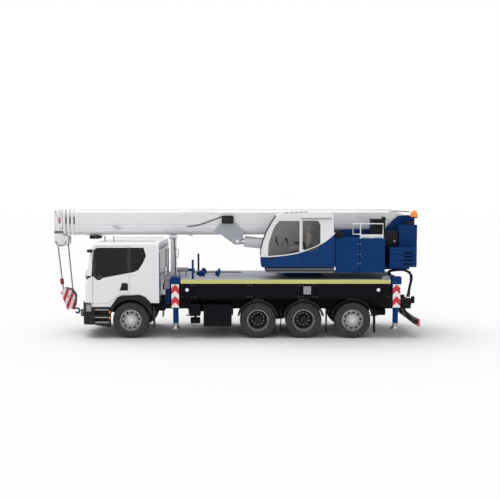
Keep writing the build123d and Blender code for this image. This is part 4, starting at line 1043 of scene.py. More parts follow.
@dataclass
class HookBlock:
    """Striped hook block on its falls, tethered to the front jaw."""

    middle: Point = (-4.945, 0.0, 0.985)
    sheave_centre: Point = (-5.157, 0.0, 2.745)
    sheave_radius: float = 0.157
    own_radius: float = 0.140
    fall_y: tuple[float, float] = (-0.04, 0.04)
    tilt: float = 20.0
    cheek: tuple[Flat, ...] = (
        (-0.195, -0.29), (0.005, -0.30), (0.05, -0.255), (0.13, -0.10), (0.175, 0.0), (0.18, 0.09),
        (0.14, 0.225), (0.05, 0.305), (-0.03, 0.35), (-0.195, 0.265),
    )
    sheave: Flat = (-0.03, 0.09)
    weight_span: Flat = (0.68, 0.78)

    def local(self, x: float, z: float, y: float = 0.0) -> Point:
        """A point of the block, from its own axes to the row frame."""
        turned = rotate_pair((x, z), math.radians(self.tilt))
        return (self.middle[0] + turned[0], y, self.middle[2] + turned[1])

    def flat(self, points: Iterable[Flat]) -> list[Flat]:
        """Points of the block as X and Z in the row frame."""
        return [(self.local(x, z)[0], self.local(x, z)[2]) for x, z in points]

    def cheeks(self, shape: Shape) -> None:
        """Adds the striped cheek plates, the rope guard round them and their bolts."""
        for low, high in ((-0.11, -0.07), (0.07, 0.11)):
            shape.prism(self.flat(self.cheek), Axis.Y, low, high, HOOK_STRIPES, 0.006)
        outer = [self.local(x * 1.06 + 0.004, z * 1.04) for x, z in self.cheek[2:9]]
        for low, high in zip(outer, outer[1:]):
            run = Vector((high[0] - low[0], 0, high[2] - low[2])).normalized() * 0.006
            thick = Vector((-run.z, 0, run.x)).normalized() * 0.016
            strip = [(low[0] - run.x, low[2] - run.z), (high[0] + run.x, high[2] + run.z),
                     (high[0] + run.x + thick.x, high[2] + run.z + thick.z),
                     (low[0] - run.x + thick.x, low[2] - run.z + thick.z)]
            shape.prism(strip, Axis.Y, -0.1, 0.1, DARK_TRIM)
        web = self.flat(((-0.18, -0.28), (0.0, -0.29), (0.04, -0.22), (-0.18, -0.16)))
        shape.prism(web, Axis.Y, -0.072, 0.072, HOOK_STRIPES, 0.004)
        for x, z in ((-0.15, 0.235), (0.06, 0.255), (0.13, 0.12), (0.09, -0.09), (0.0, -0.25), (-0.16, -0.25),
                     (-0.165, -0.02)):
            for end, out in ((-0.11, -0.012), (0.11, 0.012)):
                shape.bolt(self.local(x, z, end), Axis.Y, out, 0.018, STEEL)

    def sheaves(self, shape: Shape) -> None:
        """Adds the block's own sheaves on their pin."""
        for y in self.fall_y:
            profile = [(-0.02, 0.05), (-0.022, 0.13), (-0.018, 0.14), (-0.007, 0.126), (0.007, 0.126),
                       (0.018, 0.14), (0.022, 0.13), (0.02, 0.05)]
            shape.lathe(profile, Axis.Y, self.local(*self.sheave, y), CAST, 40)
        shape.rod(self.local(*self.sheave, -0.128), self.local(*self.sheave, 0.128), 0.034, STEEL, 24)

    def hook(self, shape: Shape) -> None:
        """Adds the swivel, the forged hook and the shackle that tethers it."""
        shape.rod(self.local(-0.03, -0.27), self.local(-0.01, -0.345), 0.045, CAST, 20)
        bow = [(0.0, -0.33), (0.05, -0.335), (0.105, -0.37), (0.122, -0.42), (0.10, -0.465), (0.056, -0.478),
               (0.008, -0.462), (-0.012, -0.43)]
        shape.tube(bend([self.local(x, z) for x, z in bow], 4), 0.025, BLUE, 12)
        centre = self.local(0.112, -0.48)
        shackle = [(centre[0] + 0.048 * c, 0.016 * s, centre[2] + 0.048 * s) for c, s in around(16)]
        shape.tube(shackle, 0.012, BLUE, 10, closed=True)

    def falls(self, shape: Shape) -> None:
        """Adds the hoist rope's four falls, and the trip weight on one of them."""
        top = Vector(self.sheave_centre)
        low = Vector(self.local(*self.sheave))
        down = (low - top).normalized()
        across = Vector((down.z, 0.0, -down.x))
        for side in (-1, 1):
            for y in self.fall_y:
                start = top + across * (side * self.sheave_radius) + Vector((0, y, 0))
                end = low + across * (side * self.own_radius) + Vector((0, y, 0))
                shape.rod(tuple(start), tuple(end), 0.009, ROPE, 10)
                if y < 0 and (end - low).x < 0:
                    top_end, low_end = (tuple(start.lerp(end, share)) for share in self.weight_span)
                    shape.rod(top_end, low_end, 0.055, RED_PAINT, 24)

    def build(self) -> None:
        """Builds the block as one piece."""
        shape = Shape("hook_block_dressed")
        self.cheeks(shape)
        self.sheaves(shape)
        self.hook(shape)
        self.falls(shape)
        shape.make("hook_block", ["hook_block"], "hook_red")


@dataclass
class TruckCab:
    """Trim, lamps, steps and rear posts of the truck's own cab."""

    sides: tuple[float, float] = (-1.0, 1.0)
    rear_x: float = -2.115
    roof_z: float = 2.748
    lamp_plan: tuple[Flat, ...] = ((-4.205, 1.2062), (-4.052, 1.2385), (-4.052, 1.2362), (-4.205, 1.2036))

    def lamps(self, shape: Shape) -> None:
        """Adds each headlamp's clear cover and the amber markers along the sides."""
        for side in self.sides:
            lens = [(x, y * side) for x, y in self.lamp_plan]
            shape.prism(lens, Axis.Z, 0.783, 0.978, CLEAR_LENS)
            low, high = sided(side, 1.2472, 1.2532)
            for z in (0.60, 0.77):
                shape.box((-3.539, low, z - 0.035), (-3.506, high, z + 0.035), AMBER_LENS, 0.002)

    def steps(self, shape: Shape) -> None:
        """Adds the bright treads of the two side steps."""
        for side in self.sides:
            low, high = sided(side, 1.16, 1.242)
            for z in (0.820, 0.600):
                shape.box((-3.945, low, z), (-3.565, high, z + 0.022), ALLOY, 0.004)
            low, high = sided(side, 1.2352, 1.239)
            for z in (0.453, 0.475):
                shape.box((-3.947, low, z), (-3.548, high, z + 0.012), ALLOY, 0.001)

    def handles(self, shape: Shape, side: Side) -> None:
        """Adds the dark plate round a door's handle."""
        y = side.value
        outline = [(-3.244, 1.377), (-2.999, 1.382), (-2.997, 1.569), (-3.168, 1.54)]
        low, high = sided(y, 1.2095, 1.2145)
        shape.prism(outline, Axis.Y, low, high, PLASTIC, 0.002)
        low, high = sided(y, 1.2145, 1.236)
        shape.box((-3.20, low, 1.455), (-3.03, high, 1.49), PLASTIC, 0.006)

    def rear(self, shape: Shape) -> None:
        """Adds the posts and the vent slats of the rear wall."""
        wall = self.rear_x
        for y in (-0.88, 0.0, 0.88):
            shape.box((wall + 0.001, y - 0.035, 1.45), (wall + 0.014, y + 0.035, 1.89), PANEL_GREY, 0.004)
        for z in (2.52, 2.562, 2.604):
            shape.box((wall + 0.001, -1.10, z), (wall + 0.016, 1.10, z + 0.016), PANEL_GREY, 0.003)
        for y in (-1.06, 1.06):
            shape.rod((wall + 0.012, y, 1.2), (wall + 0.012, y, 2.45), 0.012, PANEL_GREY, 10)

    def roof(self, shape: Shape) -> None:
        """Adds the roof's lamp stalks and the pipe along its edge."""
        for x in (-3.694, -3.438):
            shape.rod((x, -0.92, self.roof_z - 0.03), (x, -0.92, 2.882), 0.012, DARK_TRIM, 10)
            shape.rod((x, -0.92, 2.872), (x, -0.92, 2.902), 0.022, DARK_TRIM, 14)
        for side in self.sides:
            pipe = ((-3.75, 2.745), (-3.72, 2.765), (-2.25, 2.765), (-2.20, 2.735))
            shape.tube([(x, side * 1.02, z) for x, z in pipe], 0.010, PALE_TRIM, 8)

    def front(self, shape: Shape) -> None:
        """Adds the grille's slats, the panel over them, the blank plate and the wipers."""
        for i in range(6):
            z = 1.02 + 0.085 * i
            x = -4.326 - 0.0164 * (z - 0.907)
            shape.box((x, -0.66, z), (x + 0.02, 0.66, z + 0.045), DARK_TRIM, 0.003)
        shape.box((-4.345, -0.26, 1.58), (-4.318, 0.26, 1.665), DARK_TRIM, 0.004)
        shape.box((-4.56, -0.26, 0.52), (-4.545, 0.26, 0.63), WHITE, 0.003)
        for y in (-0.62, 0.04, 0.66):
            arm = [(-4.342, y, 1.70), (-4.344, y + 0.02, 1.74), (-4.322, y + 0.30, 1.95)]
            shape.tube(arm, 0.008, PLASTIC, 8)
            shape.tube([(-4.330, y + 0.04, 1.86), (-4.316, y + 0.52, 1.98)], 0.007, PLASTIC, 6)

    def build(self) -> None:
        """Builds the trim on the chassis and the plates on the doors."""
        shape = Shape("cab_details")
        self.lamps(shape)
        self.steps(shape)
        self.rear(shape)
        self.roof(shape)
        self.front(shape)
        shape.make("chassis")
        for side in Side:
            door = Shape(f"cab_door_{side.word}_handle")
            self.handles(door, side)
            door.make(f"cab_door_{side.word}")


@dataclass
class DeckSide:
    """Side skirts with their recess and markers, and what stands on the deck."""

    face: float = 1.267
    low: float = 1.150
    high: float = 1.585
    cuts: tuple[float, ...] = (-1.495, -1.130, 0.470, 1.920, 2.330, 4.465)
    gap: float = 0.006
    top: float = 1.70
    right: tuple[float, ...] = (-1.270, -1.130, 0.470, 1.920, 2.330, 4.260)
    lugs: tuple[tuple[float, float, float, float], ...] = (
        (-1.033, 0.173, 0.335, 0.170), (-1.120, 0.200, 0.035, 0.120), (-0.520, 0.090, 0.335, 0.160),
        (-0.568, 0.075, 0.035, 0.130),
    )

    def skirt(self, shape: Shape, side: float, x0: float, x1: float) -> None:
        """Adds one skirt panel with its rolled lower lip and its screws."""
        low, high = sided(side, self.face - 0.040, self.face)
        if x0 < 2.0 < x1:
            self.recess(shape, side, x0, x1, low, high)
        else:
            shape.box((x0, low, self.low), (x1, high, self.high), SKIRT, 0.008)
        lip = sided(side, self.face - 0.045, self.face + 0.0005)
        shape.box((x0 + 0.01, lip[0], self.low), (x1 - 0.01, lip[1], self.low + 0.022), SKIRT, 0.006)
        for x in (x0 + 0.04, x1 - 0.04):
            for z in (self.low + 0.06, self.high - 0.05):
                shape.bolt((x, side * self.face, z), Axis.Y, side * 0.002, 0.009, STEEL)

    def recess(self, shape: Shape, side: float, x0: float, x1: float, low: float, high: float) -> None:
        """Adds the panel that carries the sunk grey socket."""
        a, b, c, d = 1.975, 2.245, 1.240, 1.525
        for box in (((x0, low, self.low), (a, high, self.high)), ((b, low, self.low), (x1, high, self.high)),
                    ((a, low, self.low), (b, high, c)), ((a, low, d), (b, high, self.high))):
            shape.box(box[0], box[1], SKIRT)
        back = sided(side, self.face - 0.040, self.face - 0.025)
        shape.box((a, back[0], c), (b, back[1], d), SKIRT)
        plate = sided(side, self.face - 0.025, self.face - 0.010)
        shape.box((1.993, plate[0], 1.276), (2.208, plate[1], 1.505), PANEL_GREY, 0.006)

    def markers(self, shape: Shape) -> None:
        """Adds the round white markers on the left skirt."""
        for x in (-1.313, 4.123):
            shape.lathe([(0.0, 0.0), (0.0, 0.052), (-0.0029, 0.046), (-0.0029, 0.0)], Axis.Y,
                        (x, -self.face, 1.405), MARKER_LENS, 28)

    def lashing(self, shape: Shape) -> None:
        """Adds the blue lashing lugs on the front of the deck."""
        outline = ((0.0, 0.0), (1.0, 0.0), (1.0, 0.6), (0.7, 1.0), (0.3, 1.0), (0.0, 0.6))
        for side in (-1.0, 1.0):
            for x, length, inner, height in self.lugs:
                low, high = sided(side, inner, inner + 0.09)
                lug = [(x + length * a, self.top + height * b) for a, b in outline]
                shape.prism(lug, Axis.Y, low, high, BLUE, 0.006)

    def fittings(self, shape: Shape) -> None:
        """Adds the steps, boxes, pipes and hoses round the deck."""
        shape.box((4.24, -1.21, 1.701), (4.45, -0.94, 1.790), PANEL_GREY, 0.008)
        arch = [(4.720, 0.12, 1.702), (4.720, 0.12, 1.80), (5.15, 0.12, 1.83), (5.37, 0.12, 1.66),
                (5.33, 0.12, 1.33), (5.265, 0.12, 1.01)]
        shape.tube(bend(arch, 6), 0.040, HOSE, 14)
        shape.rod((5.20, -0.46, 1.04), (5.20, -0.46, 1.845), 0.012, DARK_TRIM, 10)
        shape.rod((5.20, -0.46, 1.80), (5.20, -0.46, 1.85), 0.022, DARK_TRIM, 12)
        shape.box((-1.99, -1.0, 1.40), (-1.83, -0.50, 1.688), PANEL_GREY, 0.012)
        shape.box((-1.97, -0.95, 0.963), (-1.83, -0.50, 1.398), BLUE, 0.010)
        shape.box((1.226, -0.43, 0.43), (1.486, -0.35, 0.745), CHASSIS, 0.01)
        shape.box((1.226, 0.35, 0.43), (1.486, 0.43, 0.745), CHASSIS, 0.01)
        for y in (-0.104, 0.104):
            hose = [(-1.765, y, 1.705), (-1.765, y, 2.30), (-1.80, y, 2.84)]
            shape.tube(hose, 0.012, HOSE, 10)
        loop = [(-1.757, -0.10, 2.487), (-1.68, -0.135, 2.47), (-1.663, -0.135, 2.36), (-1.68, -0.135, 2.25),
                (-1.757, -0.10, 2.232)]
        shape.tube(bend(loop, 4), 0.009, HOSE, 8)
        for y in (0.62, 0.68, 0.74):
            shape.tube([(-1.30, y, 1.712), (0.2, y, 1.712)], 0.010, HOSE, 8)
        for x in (-0.9, -0.1):
            shape.box((x, 0.59, 1.701), (x + 0.03, 0.77, 1.728), STEEL, 0.003)

    def build(self) -> None:
        """Builds the skirts as one piece and the deck's fittings as another."""
        shape = Shape("skirts_dressed")
        for side, cuts in ((-1.0, self.cuts), (1.0, self.right)):
            for x0, x1 in zip(cuts, cuts[1:]):
                self.skirt(shape, side, x0 + self.gap, x1 - self.gap)
        self.markers(shape)
        shape.make("chassis", ["skirts"], "skirt_black")
        shape = Shape("deck_details")
        self.lashing(shape)
        self.fittings(shape)
        shape.make("chassis")


@dataclass
class Boom:
    """Side box, lamps, handles and head fittings of the telescopic boom."""

    half: float = 0.268
    rope_z: float = 3.6535

    def base(self, shape: Shape) -> None:
        """Adds the base section's side box, bands, lamps and rope guides."""
        box = [(-0.362, 3.285), (-0.331, 3.254), (-0.04, 3.254), (-0.009, 3.285), (-0.009, 3.459),
               (-0.04, 3.490), (-0.331, 3.490), (-0.362, 3.459)]
        shape.prism(box, Axis.Y, -0.398, -0.267, PLASTIC, 0.014)
        for i in range(4):
            shape.box((-0.30 + 0.075 * i, -0.401, 3.31), (-0.265 + 0.075 * i, -0.396, 3.43), DARK_TRIM, 0.002)
        for side in (-1.0, 1.0):
            y = side * (self.half + 0.004)
            band = sided(side, 0.262, 0.276)
            shape.box((-1.563, band[0], 3.472), (-1.415, band[1], 3.585), WHITE, 0.003)
            for z0, z1 in ((3.24, 3.05), (3.60, 3.55)):
                shape.tube([(-1.5, y, z0), (-0.60, y, z0)], 0.007, WHITE, 8)
        shape.box((-1.563, -0.19, 3.652), (-1.415, 0.19, 3.6612), WHITE, 0.003)
        handle = [(-3.556, -0.262, 3.183), (-3.55, -0.315, 3.178), (-3.385, -0.315, 3.10),
                  (-3.379, -0.255, 3.094)]
        shape.tube(bend(handle, 4), 0.009, DARK_TRIM, 8)
        hose = [(-1.39, -0.272, 3.17), (-1.10, -0.282, 3.20), (-0.70, -0.282, 3.33), (-0.355, -0.280, 3.46)]
        shape.tube(bend(hose, 6), 0.014, HOSE, 10)
        guide = [(-1.36, 2.925), (-1.22, 2.925), (-1.25, 2.862), (-1.33, 2.862)]
        shape.prism(guide, Axis.Y, -0.05, 0.05, WHITE, 0.006)
        bulge = [(-4.52, 2.93), (-3.803, 2.93), (-3.85, 2.90), (-4.0, 2.885), (-4.38, 2.885), (-4.47, 2.90)]
        shape.prism(bulge, Axis.Y, -0.10, 0.10, WHITE, 0.012)
        for x0, x1 in ((-4.304, -4.130), (-4.124, -4.006)):
            for y0, y1 in ((-0.19, -0.105), (0.105, 0.19)):
                shape.box((x0, y0, 2.795), (x1, y1, 2.90), PLASTIC, 0.014)
                shape.box((x0 - 0.004, y0 + 0.012, 2.807), (x0 + 0.01, y1 - 0.012, 2.888), CLEAR_LENS, 0.003)
        for y in (-0.215, 0.215):
            shape.rod((4.76, y, 3.625), (5.20, y, 3.60), 0.012, DARK_TRIM, 10)
        shape.rod((4.98, -0.215, 3.613), (4.98, 0.215, 3.613), 0.010, DARK_TRIM, 10)
        shape.box((4.191, -0.18, 3.652), (4.552, 0.18, 3.6605), BLUE, 0.003)
        shape.rod((4.42, -0.40, 3.40), (4.42, -0.262, 3.40), 0.055, PLASTIC, 24)

    def ropes(self) -> None:
        """Lays the hoist rope along the top, one run to a section."""
        runs = (("boom_base", -4.60, 4.70), ("boom_section_2", -4.83, -4.66),
                ("boom_section_3", -4.95, -4.835), ("boom_section_4", -5.07, -4.955),
                ("boom_section_5", -5.15, -5.075))
        for body, x0, x1 in runs:
            shape = Shape(f"rope_{body}")
            for y in (-0.04, 0.04):
                shape.rod((x0, y, self.rope_z), (x1, y, self.rope_z), 0.007, ROPE, 8)
            shape.make(body)

    def plates(self) -> None:
        """Adds dark blocks that paint the shade in the gaps between the collars."""
        for body, x0, x1 in (("boom_section_2", -4.757, -4.716), ("boom_section_3", -4.877, -4.836),
                             ("boom_section_4", -4.997, -4.956)):
            shape = Shape(f"wear_plates_{body}")
            for side in (-1.0, 1.0):
                low, high = sided(side, 0.20, 0.2655)
                shape.box((x0, low, 3.24), (x1, high, 3.45), DARK_TRIM, 0.002)
            shape.make(body)

    def head(self, shape: Shape) -> None:
        """Adds the head's reflectors, lever, bolts and sheave guard."""
        for side in (-1.0, 1.0):
            low, high = sided(side, 0.2052, 0.2105)
            oval = [(-5.180 + 0.042 * c, 3.345 + 0.10 * s) for c, s in around(24)]
            shape.prism(oval, Axis.Y, low, high, ROSE_LENS, 0.002)
            lever = [(-5.174, side * 0.213, 3.091), (-5.054, side * 0.213, 3.151)]
            shape.tube(lever, 0.012, DARK_TRIM, 8)
            for x, z in ((-5.28, 3.48), (-5.16, 3.56), (-5.30, 3.12), (-5.02, 2.92), (-5.02, 2.70),
                         (-5.29, 2.70), (-5.157, 2.62), (-5.157, 2.745)):
                shape.bolt((x, side * 0.205, z), Axis.Y, side * 0.011, 0.017, STEEL)
            ring = [(-5.157 + 0.155 * math.cos(a), side * 0.209, 2.745 + 0.155 * math.sin(a))
                    for a in (math.pi * (1.02 + 0.96 * k / 14) for k in range(15))]
            shape.tube(ring, 0.010, DARK_TRIM, 8)

    def build(self) -> None:
        """Builds the fittings section by section."""
        shape = Shape("boom_base_details")
        self.base(shape)
        shape.make("boom_base")
        self.ropes()
        self.plates()
        shape = Shape("boom_head_details")
        self.head(shape)
        shape.make("boom_section_5")


@dataclass
class OperatorCab:
    """Trim, steps, controls and door of the operator's cab."""

    side_y: float = -1.222
    door_y: float = -1.262
    leaf: tuple[Flat, ...] = ((0.90, 2.06), (1.50, 2.06), (1.925, 2.06), (1.925, 3.41), (1.26, 3.41),
                              (1.085, 3.17), (0.925, 2.72))
    pane: tuple[Flat, ...] = ((0.985, 2.375), (1.50, 2.418), (1.870, 2.490), (1.870, 3.355), (1.295, 3.355),
                              (1.150, 3.160), (1.010, 2.730))

    def moulding(self, shape: Shape, line: Sequence[Flat], face: float, out: float) -> None:
        """Adds the white strip that follows the waistline and stands out from a face."""
        for (x0, z0), (x1, z1) in zip(line, line[1:]):
            strip = [(x0, z0 - 0.004), (x1, z1 - 0.004), (x1, z1 + 0.024), (x0, z0 + 0.024)]
            shape.prism(strip, Axis.Y, face - out, face, WHITE)

    def trim(self, shape: Shape) -> None:
        """Adds the white waist moulding, the step's edges and the gaskets."""
        line = [(1.95, 2.476), (2.05, 2.512), (2.31, 2.612), (2.55, 2.737), (2.75, 2.882), (2.885, 3.012)]
        self.moulding(shape, line, self.side_y, 0.0042)
        for z0, z1 in ((1.905, 1.925), (1.990, 2.005)):
            shape.box((0.94, -1.2686, z0), (2.85, -1.266, z1), PANEL_GREY, 0.001)
        shape.box((2.856, -1.2688, 1.973), (2.903, -1.2, 2.055), WHITE, 0.004)
        for y0, y1 in ((-1.17, -1.135), (-0.485, -0.45)):
            front = [(0.778, 2.339), (0.793, 2.545), (0.848, 2.762), (0.953, 3.045), (1.108, 3.331),
                     (1.228, 3.502), (1.216, 3.510), (1.094, 3.338), (0.939, 3.051), (0.834, 2.768),
                     (0.779, 2.549), (0.766, 2.341)]
            shape.prism(front, Axis.Y, y0, y1, PLASTIC)
        for i in range(5):
            x = 1.52 + 0.14 * i
            top = 3.560 + (x - 1.33) * 0.0714 if x < 1.89 else 3.600 - (x - 1.89) * 0.0023
            shape.box((x, -1.1, top), (x + 0.03, -0.52, top + 0.018), DARK_TRIM, 0.004)

    def controls(self, shape: Shape) -> None:
        """Adds levers, a screen and knobs at the operator's hand."""
        for y in (-1.095, -0.525):
            shape.tube(bend([(1.58, y, 2.64), (1.55, y, 2.72), (1.53, y, 2.80)], 3), 0.010, DARK_TRIM, 8)
            shape.lathe([(-0.05, 0.0), (-0.045, 0.018), (-0.01, 0.026), (0.02, 0.020), (0.03, 0.0)], Axis.Z,
                        (1.53, y, 2.83), PLASTIC, 16)
        shape.box((1.22, -0.90, 2.72), (1.25, -0.66, 2.90), PLASTIC, 0.008)
        shape.box((1.2505, -0.88, 2.74), (1.253, -0.68, 2.88), CAB_GLASS, 0.001)
        shape.rod((1.30, -0.78, 2.62), (1.235, -0.78, 2.80), 0.014, PLASTIC, 10)
        for i in range(4):
            y = -0.89 + 0.035 * i
            shape.tube([(1.40, y, 2.64), (1.43, y, 2.72)], 0.007, DARK_TRIM, 8)

    def door(self) -> None:
        """Builds the sliding door with its pane, handle and waist moulding."""
        shape = Shape("operator_door_dressed")
        y = self.door_y
        for k in range(len(self.pane)):
            n = (k + 1) % len(self.pane)
            border = [self.leaf[k], self.leaf[n], self.pane[n], self.pane[k]]
            shape.prism(border, Axis.Y, y, y + 0.034, OPERATOR_PAINT)
        shape.prism(self.pane, Axis.Y, y + 0.014, y + 0.020, CLEAR_GLASS)
        line = [(0.93, 2.343), (1.055, 2.346), (1.50, 2.386), (1.80, 2.441), (1.922, 2.476)]
        self.moulding(shape, line, y, 0.0046)
        shape.tube([(x, y - 0.001, z) for x, z in self.pane], 0.005, PLASTIC, 8, closed=True)
        shape.box((0.98, y - 0.0065, 2.26), (1.15, y + 0.001, 2.32), PLASTIC, 0.003)
        shape.make("operator_door", ["operator_door"], "white_paint")

    def build(self) -> None:
        """Builds the cab's trim and controls and the door's trim."""
        shape = Shape("operator_cab_details")
        self.trim(shape)
        self.controls(shape)
        shape.make("turntable")
        self.door()


@dataclass
class Superstructure:
    """Cooler, railing, counterweight, beacon and small gear behind the operator."""

    face: float = -1.25

    def railing(self) -> None:
        """Builds the white railing on the cabinets."""
        shape = Shape("railing_dressed")
        y = -1.18
        run = [(3.608, 2.985), (3.395, 2.985), (3.395, 3.282), (4.247, 3.282), (4.247, 2.869)]
        shape.tube([(x, y, z) for x, z in run], 0.016, WHITE, 12)
        shape.rod((3.608, y, 2.869), (3.608, y, 3.282), 0.016, WHITE, 12)
        for x in (3.608, 3.93, 4.247):
            shape.box((x - 0.035, y - 0.035, 2.868), (x + 0.035, y + 0.035, 2.880), WHITE, 0.003)
        shape.box((3.60, y - 0.004, 2.875), (4.25, y + 0.004, 2.977), WHITE, 0.002)
        shape.make("turntable", ["railing"], "white_paint")

    def cooler(self) -> None:
        """Builds the oil cooler with its louvred core."""
        shape = Shape("oil_cooler_dressed")
        low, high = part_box("oil_cooler")
        frame_width = 0.035
        for box in (((low.x, low.y, low.z), (low.x + frame_width, high.y, high.z)),
                    ((high.x - frame_width, low.y, low.z), (high.x, high.y, high.z)),
                    ((low.x, low.y, low.z), (high.x, high.y, low.z + frame_width)),
                    ((low.x, low.y, high.z - frame_width), (high.x, high.y, high.z))):
            shape.box(box[0], box[1], LOUVRE, 0.006)
        shape.box((low.x + 0.02, low.y + 0.03, low.z + 0.02), (high.x - 0.02, high.y - 0.03, high.z - 0.02),
                  LOUVRE)
        count = 14
        for i in range(count):
            z = low.z + 0.05 + (high.z - low.z - 0.11) * i / (count - 1)
            front, back = low.y + 0.004, low.y + 0.03
            slat = [(front, z), (back, z + 0.016), (back, z + 0.022), (front, z + 0.006)]
            shape.prism(slat, Axis.X, low.x + 0.03, high.x - 0.03, DARK_TRIM)
        shape.make("turntable", ["oil_cooler"], "black_plastic")

    def counterweight(self) -> None:
        """Builds the stacked slabs, with painted shade in the gaps between them and in their lifting slots,
        and the reflectors.
        """
        shape = Shape("counterweight_dressed")
        cuts = ((2.045, 2.226), (2.234, 2.408), (2.416, 2.597))
        for low, high in cuts:
            for side in (-1.0, 1.0):
                plan = [(4.446, side * 1.2), (5.205, side * 1.2), (5.345, side * 0.65), (5.345, side * 0.35),
                        (4.446, side * 0.35)]
                shape.prism(plan, Axis.Z, low, high, BLUE, 0.012)
        for side in (-1.0, 1.0):
            # dark core inside the slabs that paints the shade in the gaps between them
            plan = [(4.455, side * 1.185), (5.195, side * 1.185), (5.33, side * 0.65), (5.33, side * 0.36),
                    (4.455, side * 0.36)]
            shape.prism(plan, Axis.Z, 2.05, 2.59, SHADOW)
            for i in range(4):
                z = 2.133 + 0.1085 * i
                low, high = sided(side, 1.2, 1.2045)
                shape.box((4.835, low, z - 0.028), (5.10, high, z + 0.028), BLUE, 0.010)
                # dark patch that paints the shade inside a lifting slot
                low, high = sided(side, 1.2045, 1.2055)
                shape.box((4.845, low, z - 0.023), (5.09, high, z + 0.023), SHADOW)
            corner = Vector((5.205, side * 1.2, 0))
            along = Vector((0.14, side * -0.55, 0)).normalized()
            outward = Vector((0.55, side * 0.14, 0)).normalized() * 0.006
            near, far = corner + along * 0.03, corner + along * 0.52
            plan = [(p.x, p.y) for p in (near, far, far + outward, near + outward)]
            shape.prism(plan, Axis.Z, 2.076, 2.222, RED_LENS)
        shape.make("turntable", ["counterweight"], "blue_paint")

    def beacon(self) -> None:
        """Builds the amber rotating beacon on its post."""
        shape = Shape("beacon_dressed")
        centre = (5.262, -0.56, 0.0)
        shape.rod((5.255, -0.56, 3.23), (5.255, -0.56, 3.44), 0.025, DARK_TRIM, 16)
        foot = [(3.428, 0.0), (3.428, 0.102), (3.455, 0.106), (3.46, 0.098)]
        dome = [(3.455, 0.102), (3.50, 0.106), (3.56, 0.100), (3.61, 0.086), (3.64, 0.056), (3.654, 0.0)]
        for profile, finish in ((foot, PLASTIC), (dome, AMBER_LENS)):
            shape.lathe(profile, Axis.Z, centre, finish, 36)
        shape.make("turntable", ["beacon"], "amber_plastic")

    def gear(self) -> None:
        """Builds latches, hinges, a black box that paints the shade of the recess by the winch, the lamp and
        pipes.
        """
        shape = Shape("superstructure_details")
        for x in (3.01, 3.535, 3.60, 4.24):
            for z in (2.15, 2.42, 2.72):
                shape.bolt((x, self.face, z), Axis.Y, -0.007, 0.013, BLUE if x in (3.01, 4.24) else PALE_TRIM)
        for x in (1.4, 1.9, 2.4, 3.0, 3.5, 4.0):
            shape.box((x - 0.035, 1.249, 2.12), (x + 0.035, 1.26, 2.19), DARK_TRIM, 0.004)
        shape.rod((3.02, -1.10, 2.979), (3.02, -0.80, 2.979), 0.110, PLASTIC, 36)
        # black box as painted shade in the recess between the cabinets and the winch, with a pale disc on it
        shape.box((4.34, -0.66, 2.62), (4.78, -0.375, 3.05), PLASTIC, 0.012)
        shape.rod((4.68, -0.66, 2.76), (4.68, -0.672, 2.76), 0.032, PALE_TRIM, 24)
        pipe = bend([(4.22, -0.50, 3.085), (4.24, -0.50, 3.13), (4.35, -0.50, 3.135)], 4)
        shape.tube(pipe, 0.022, PALE_TRIM, 12)
        shape.box((5.03, -0.722, 3.235), (5.24, -0.60, 3.33), PLASTIC, 0.012)
        shape.box((5.235, -0.712, 3.245), (5.246, -0.61, 3.32), RED_LENS, 0.003)
        shape.make("turntable")

    def build(self) -> None:
        """Builds all of it."""
        self.railing()
        self.cooler()
        self.counterweight()
        self.beacon()
        self.gear()


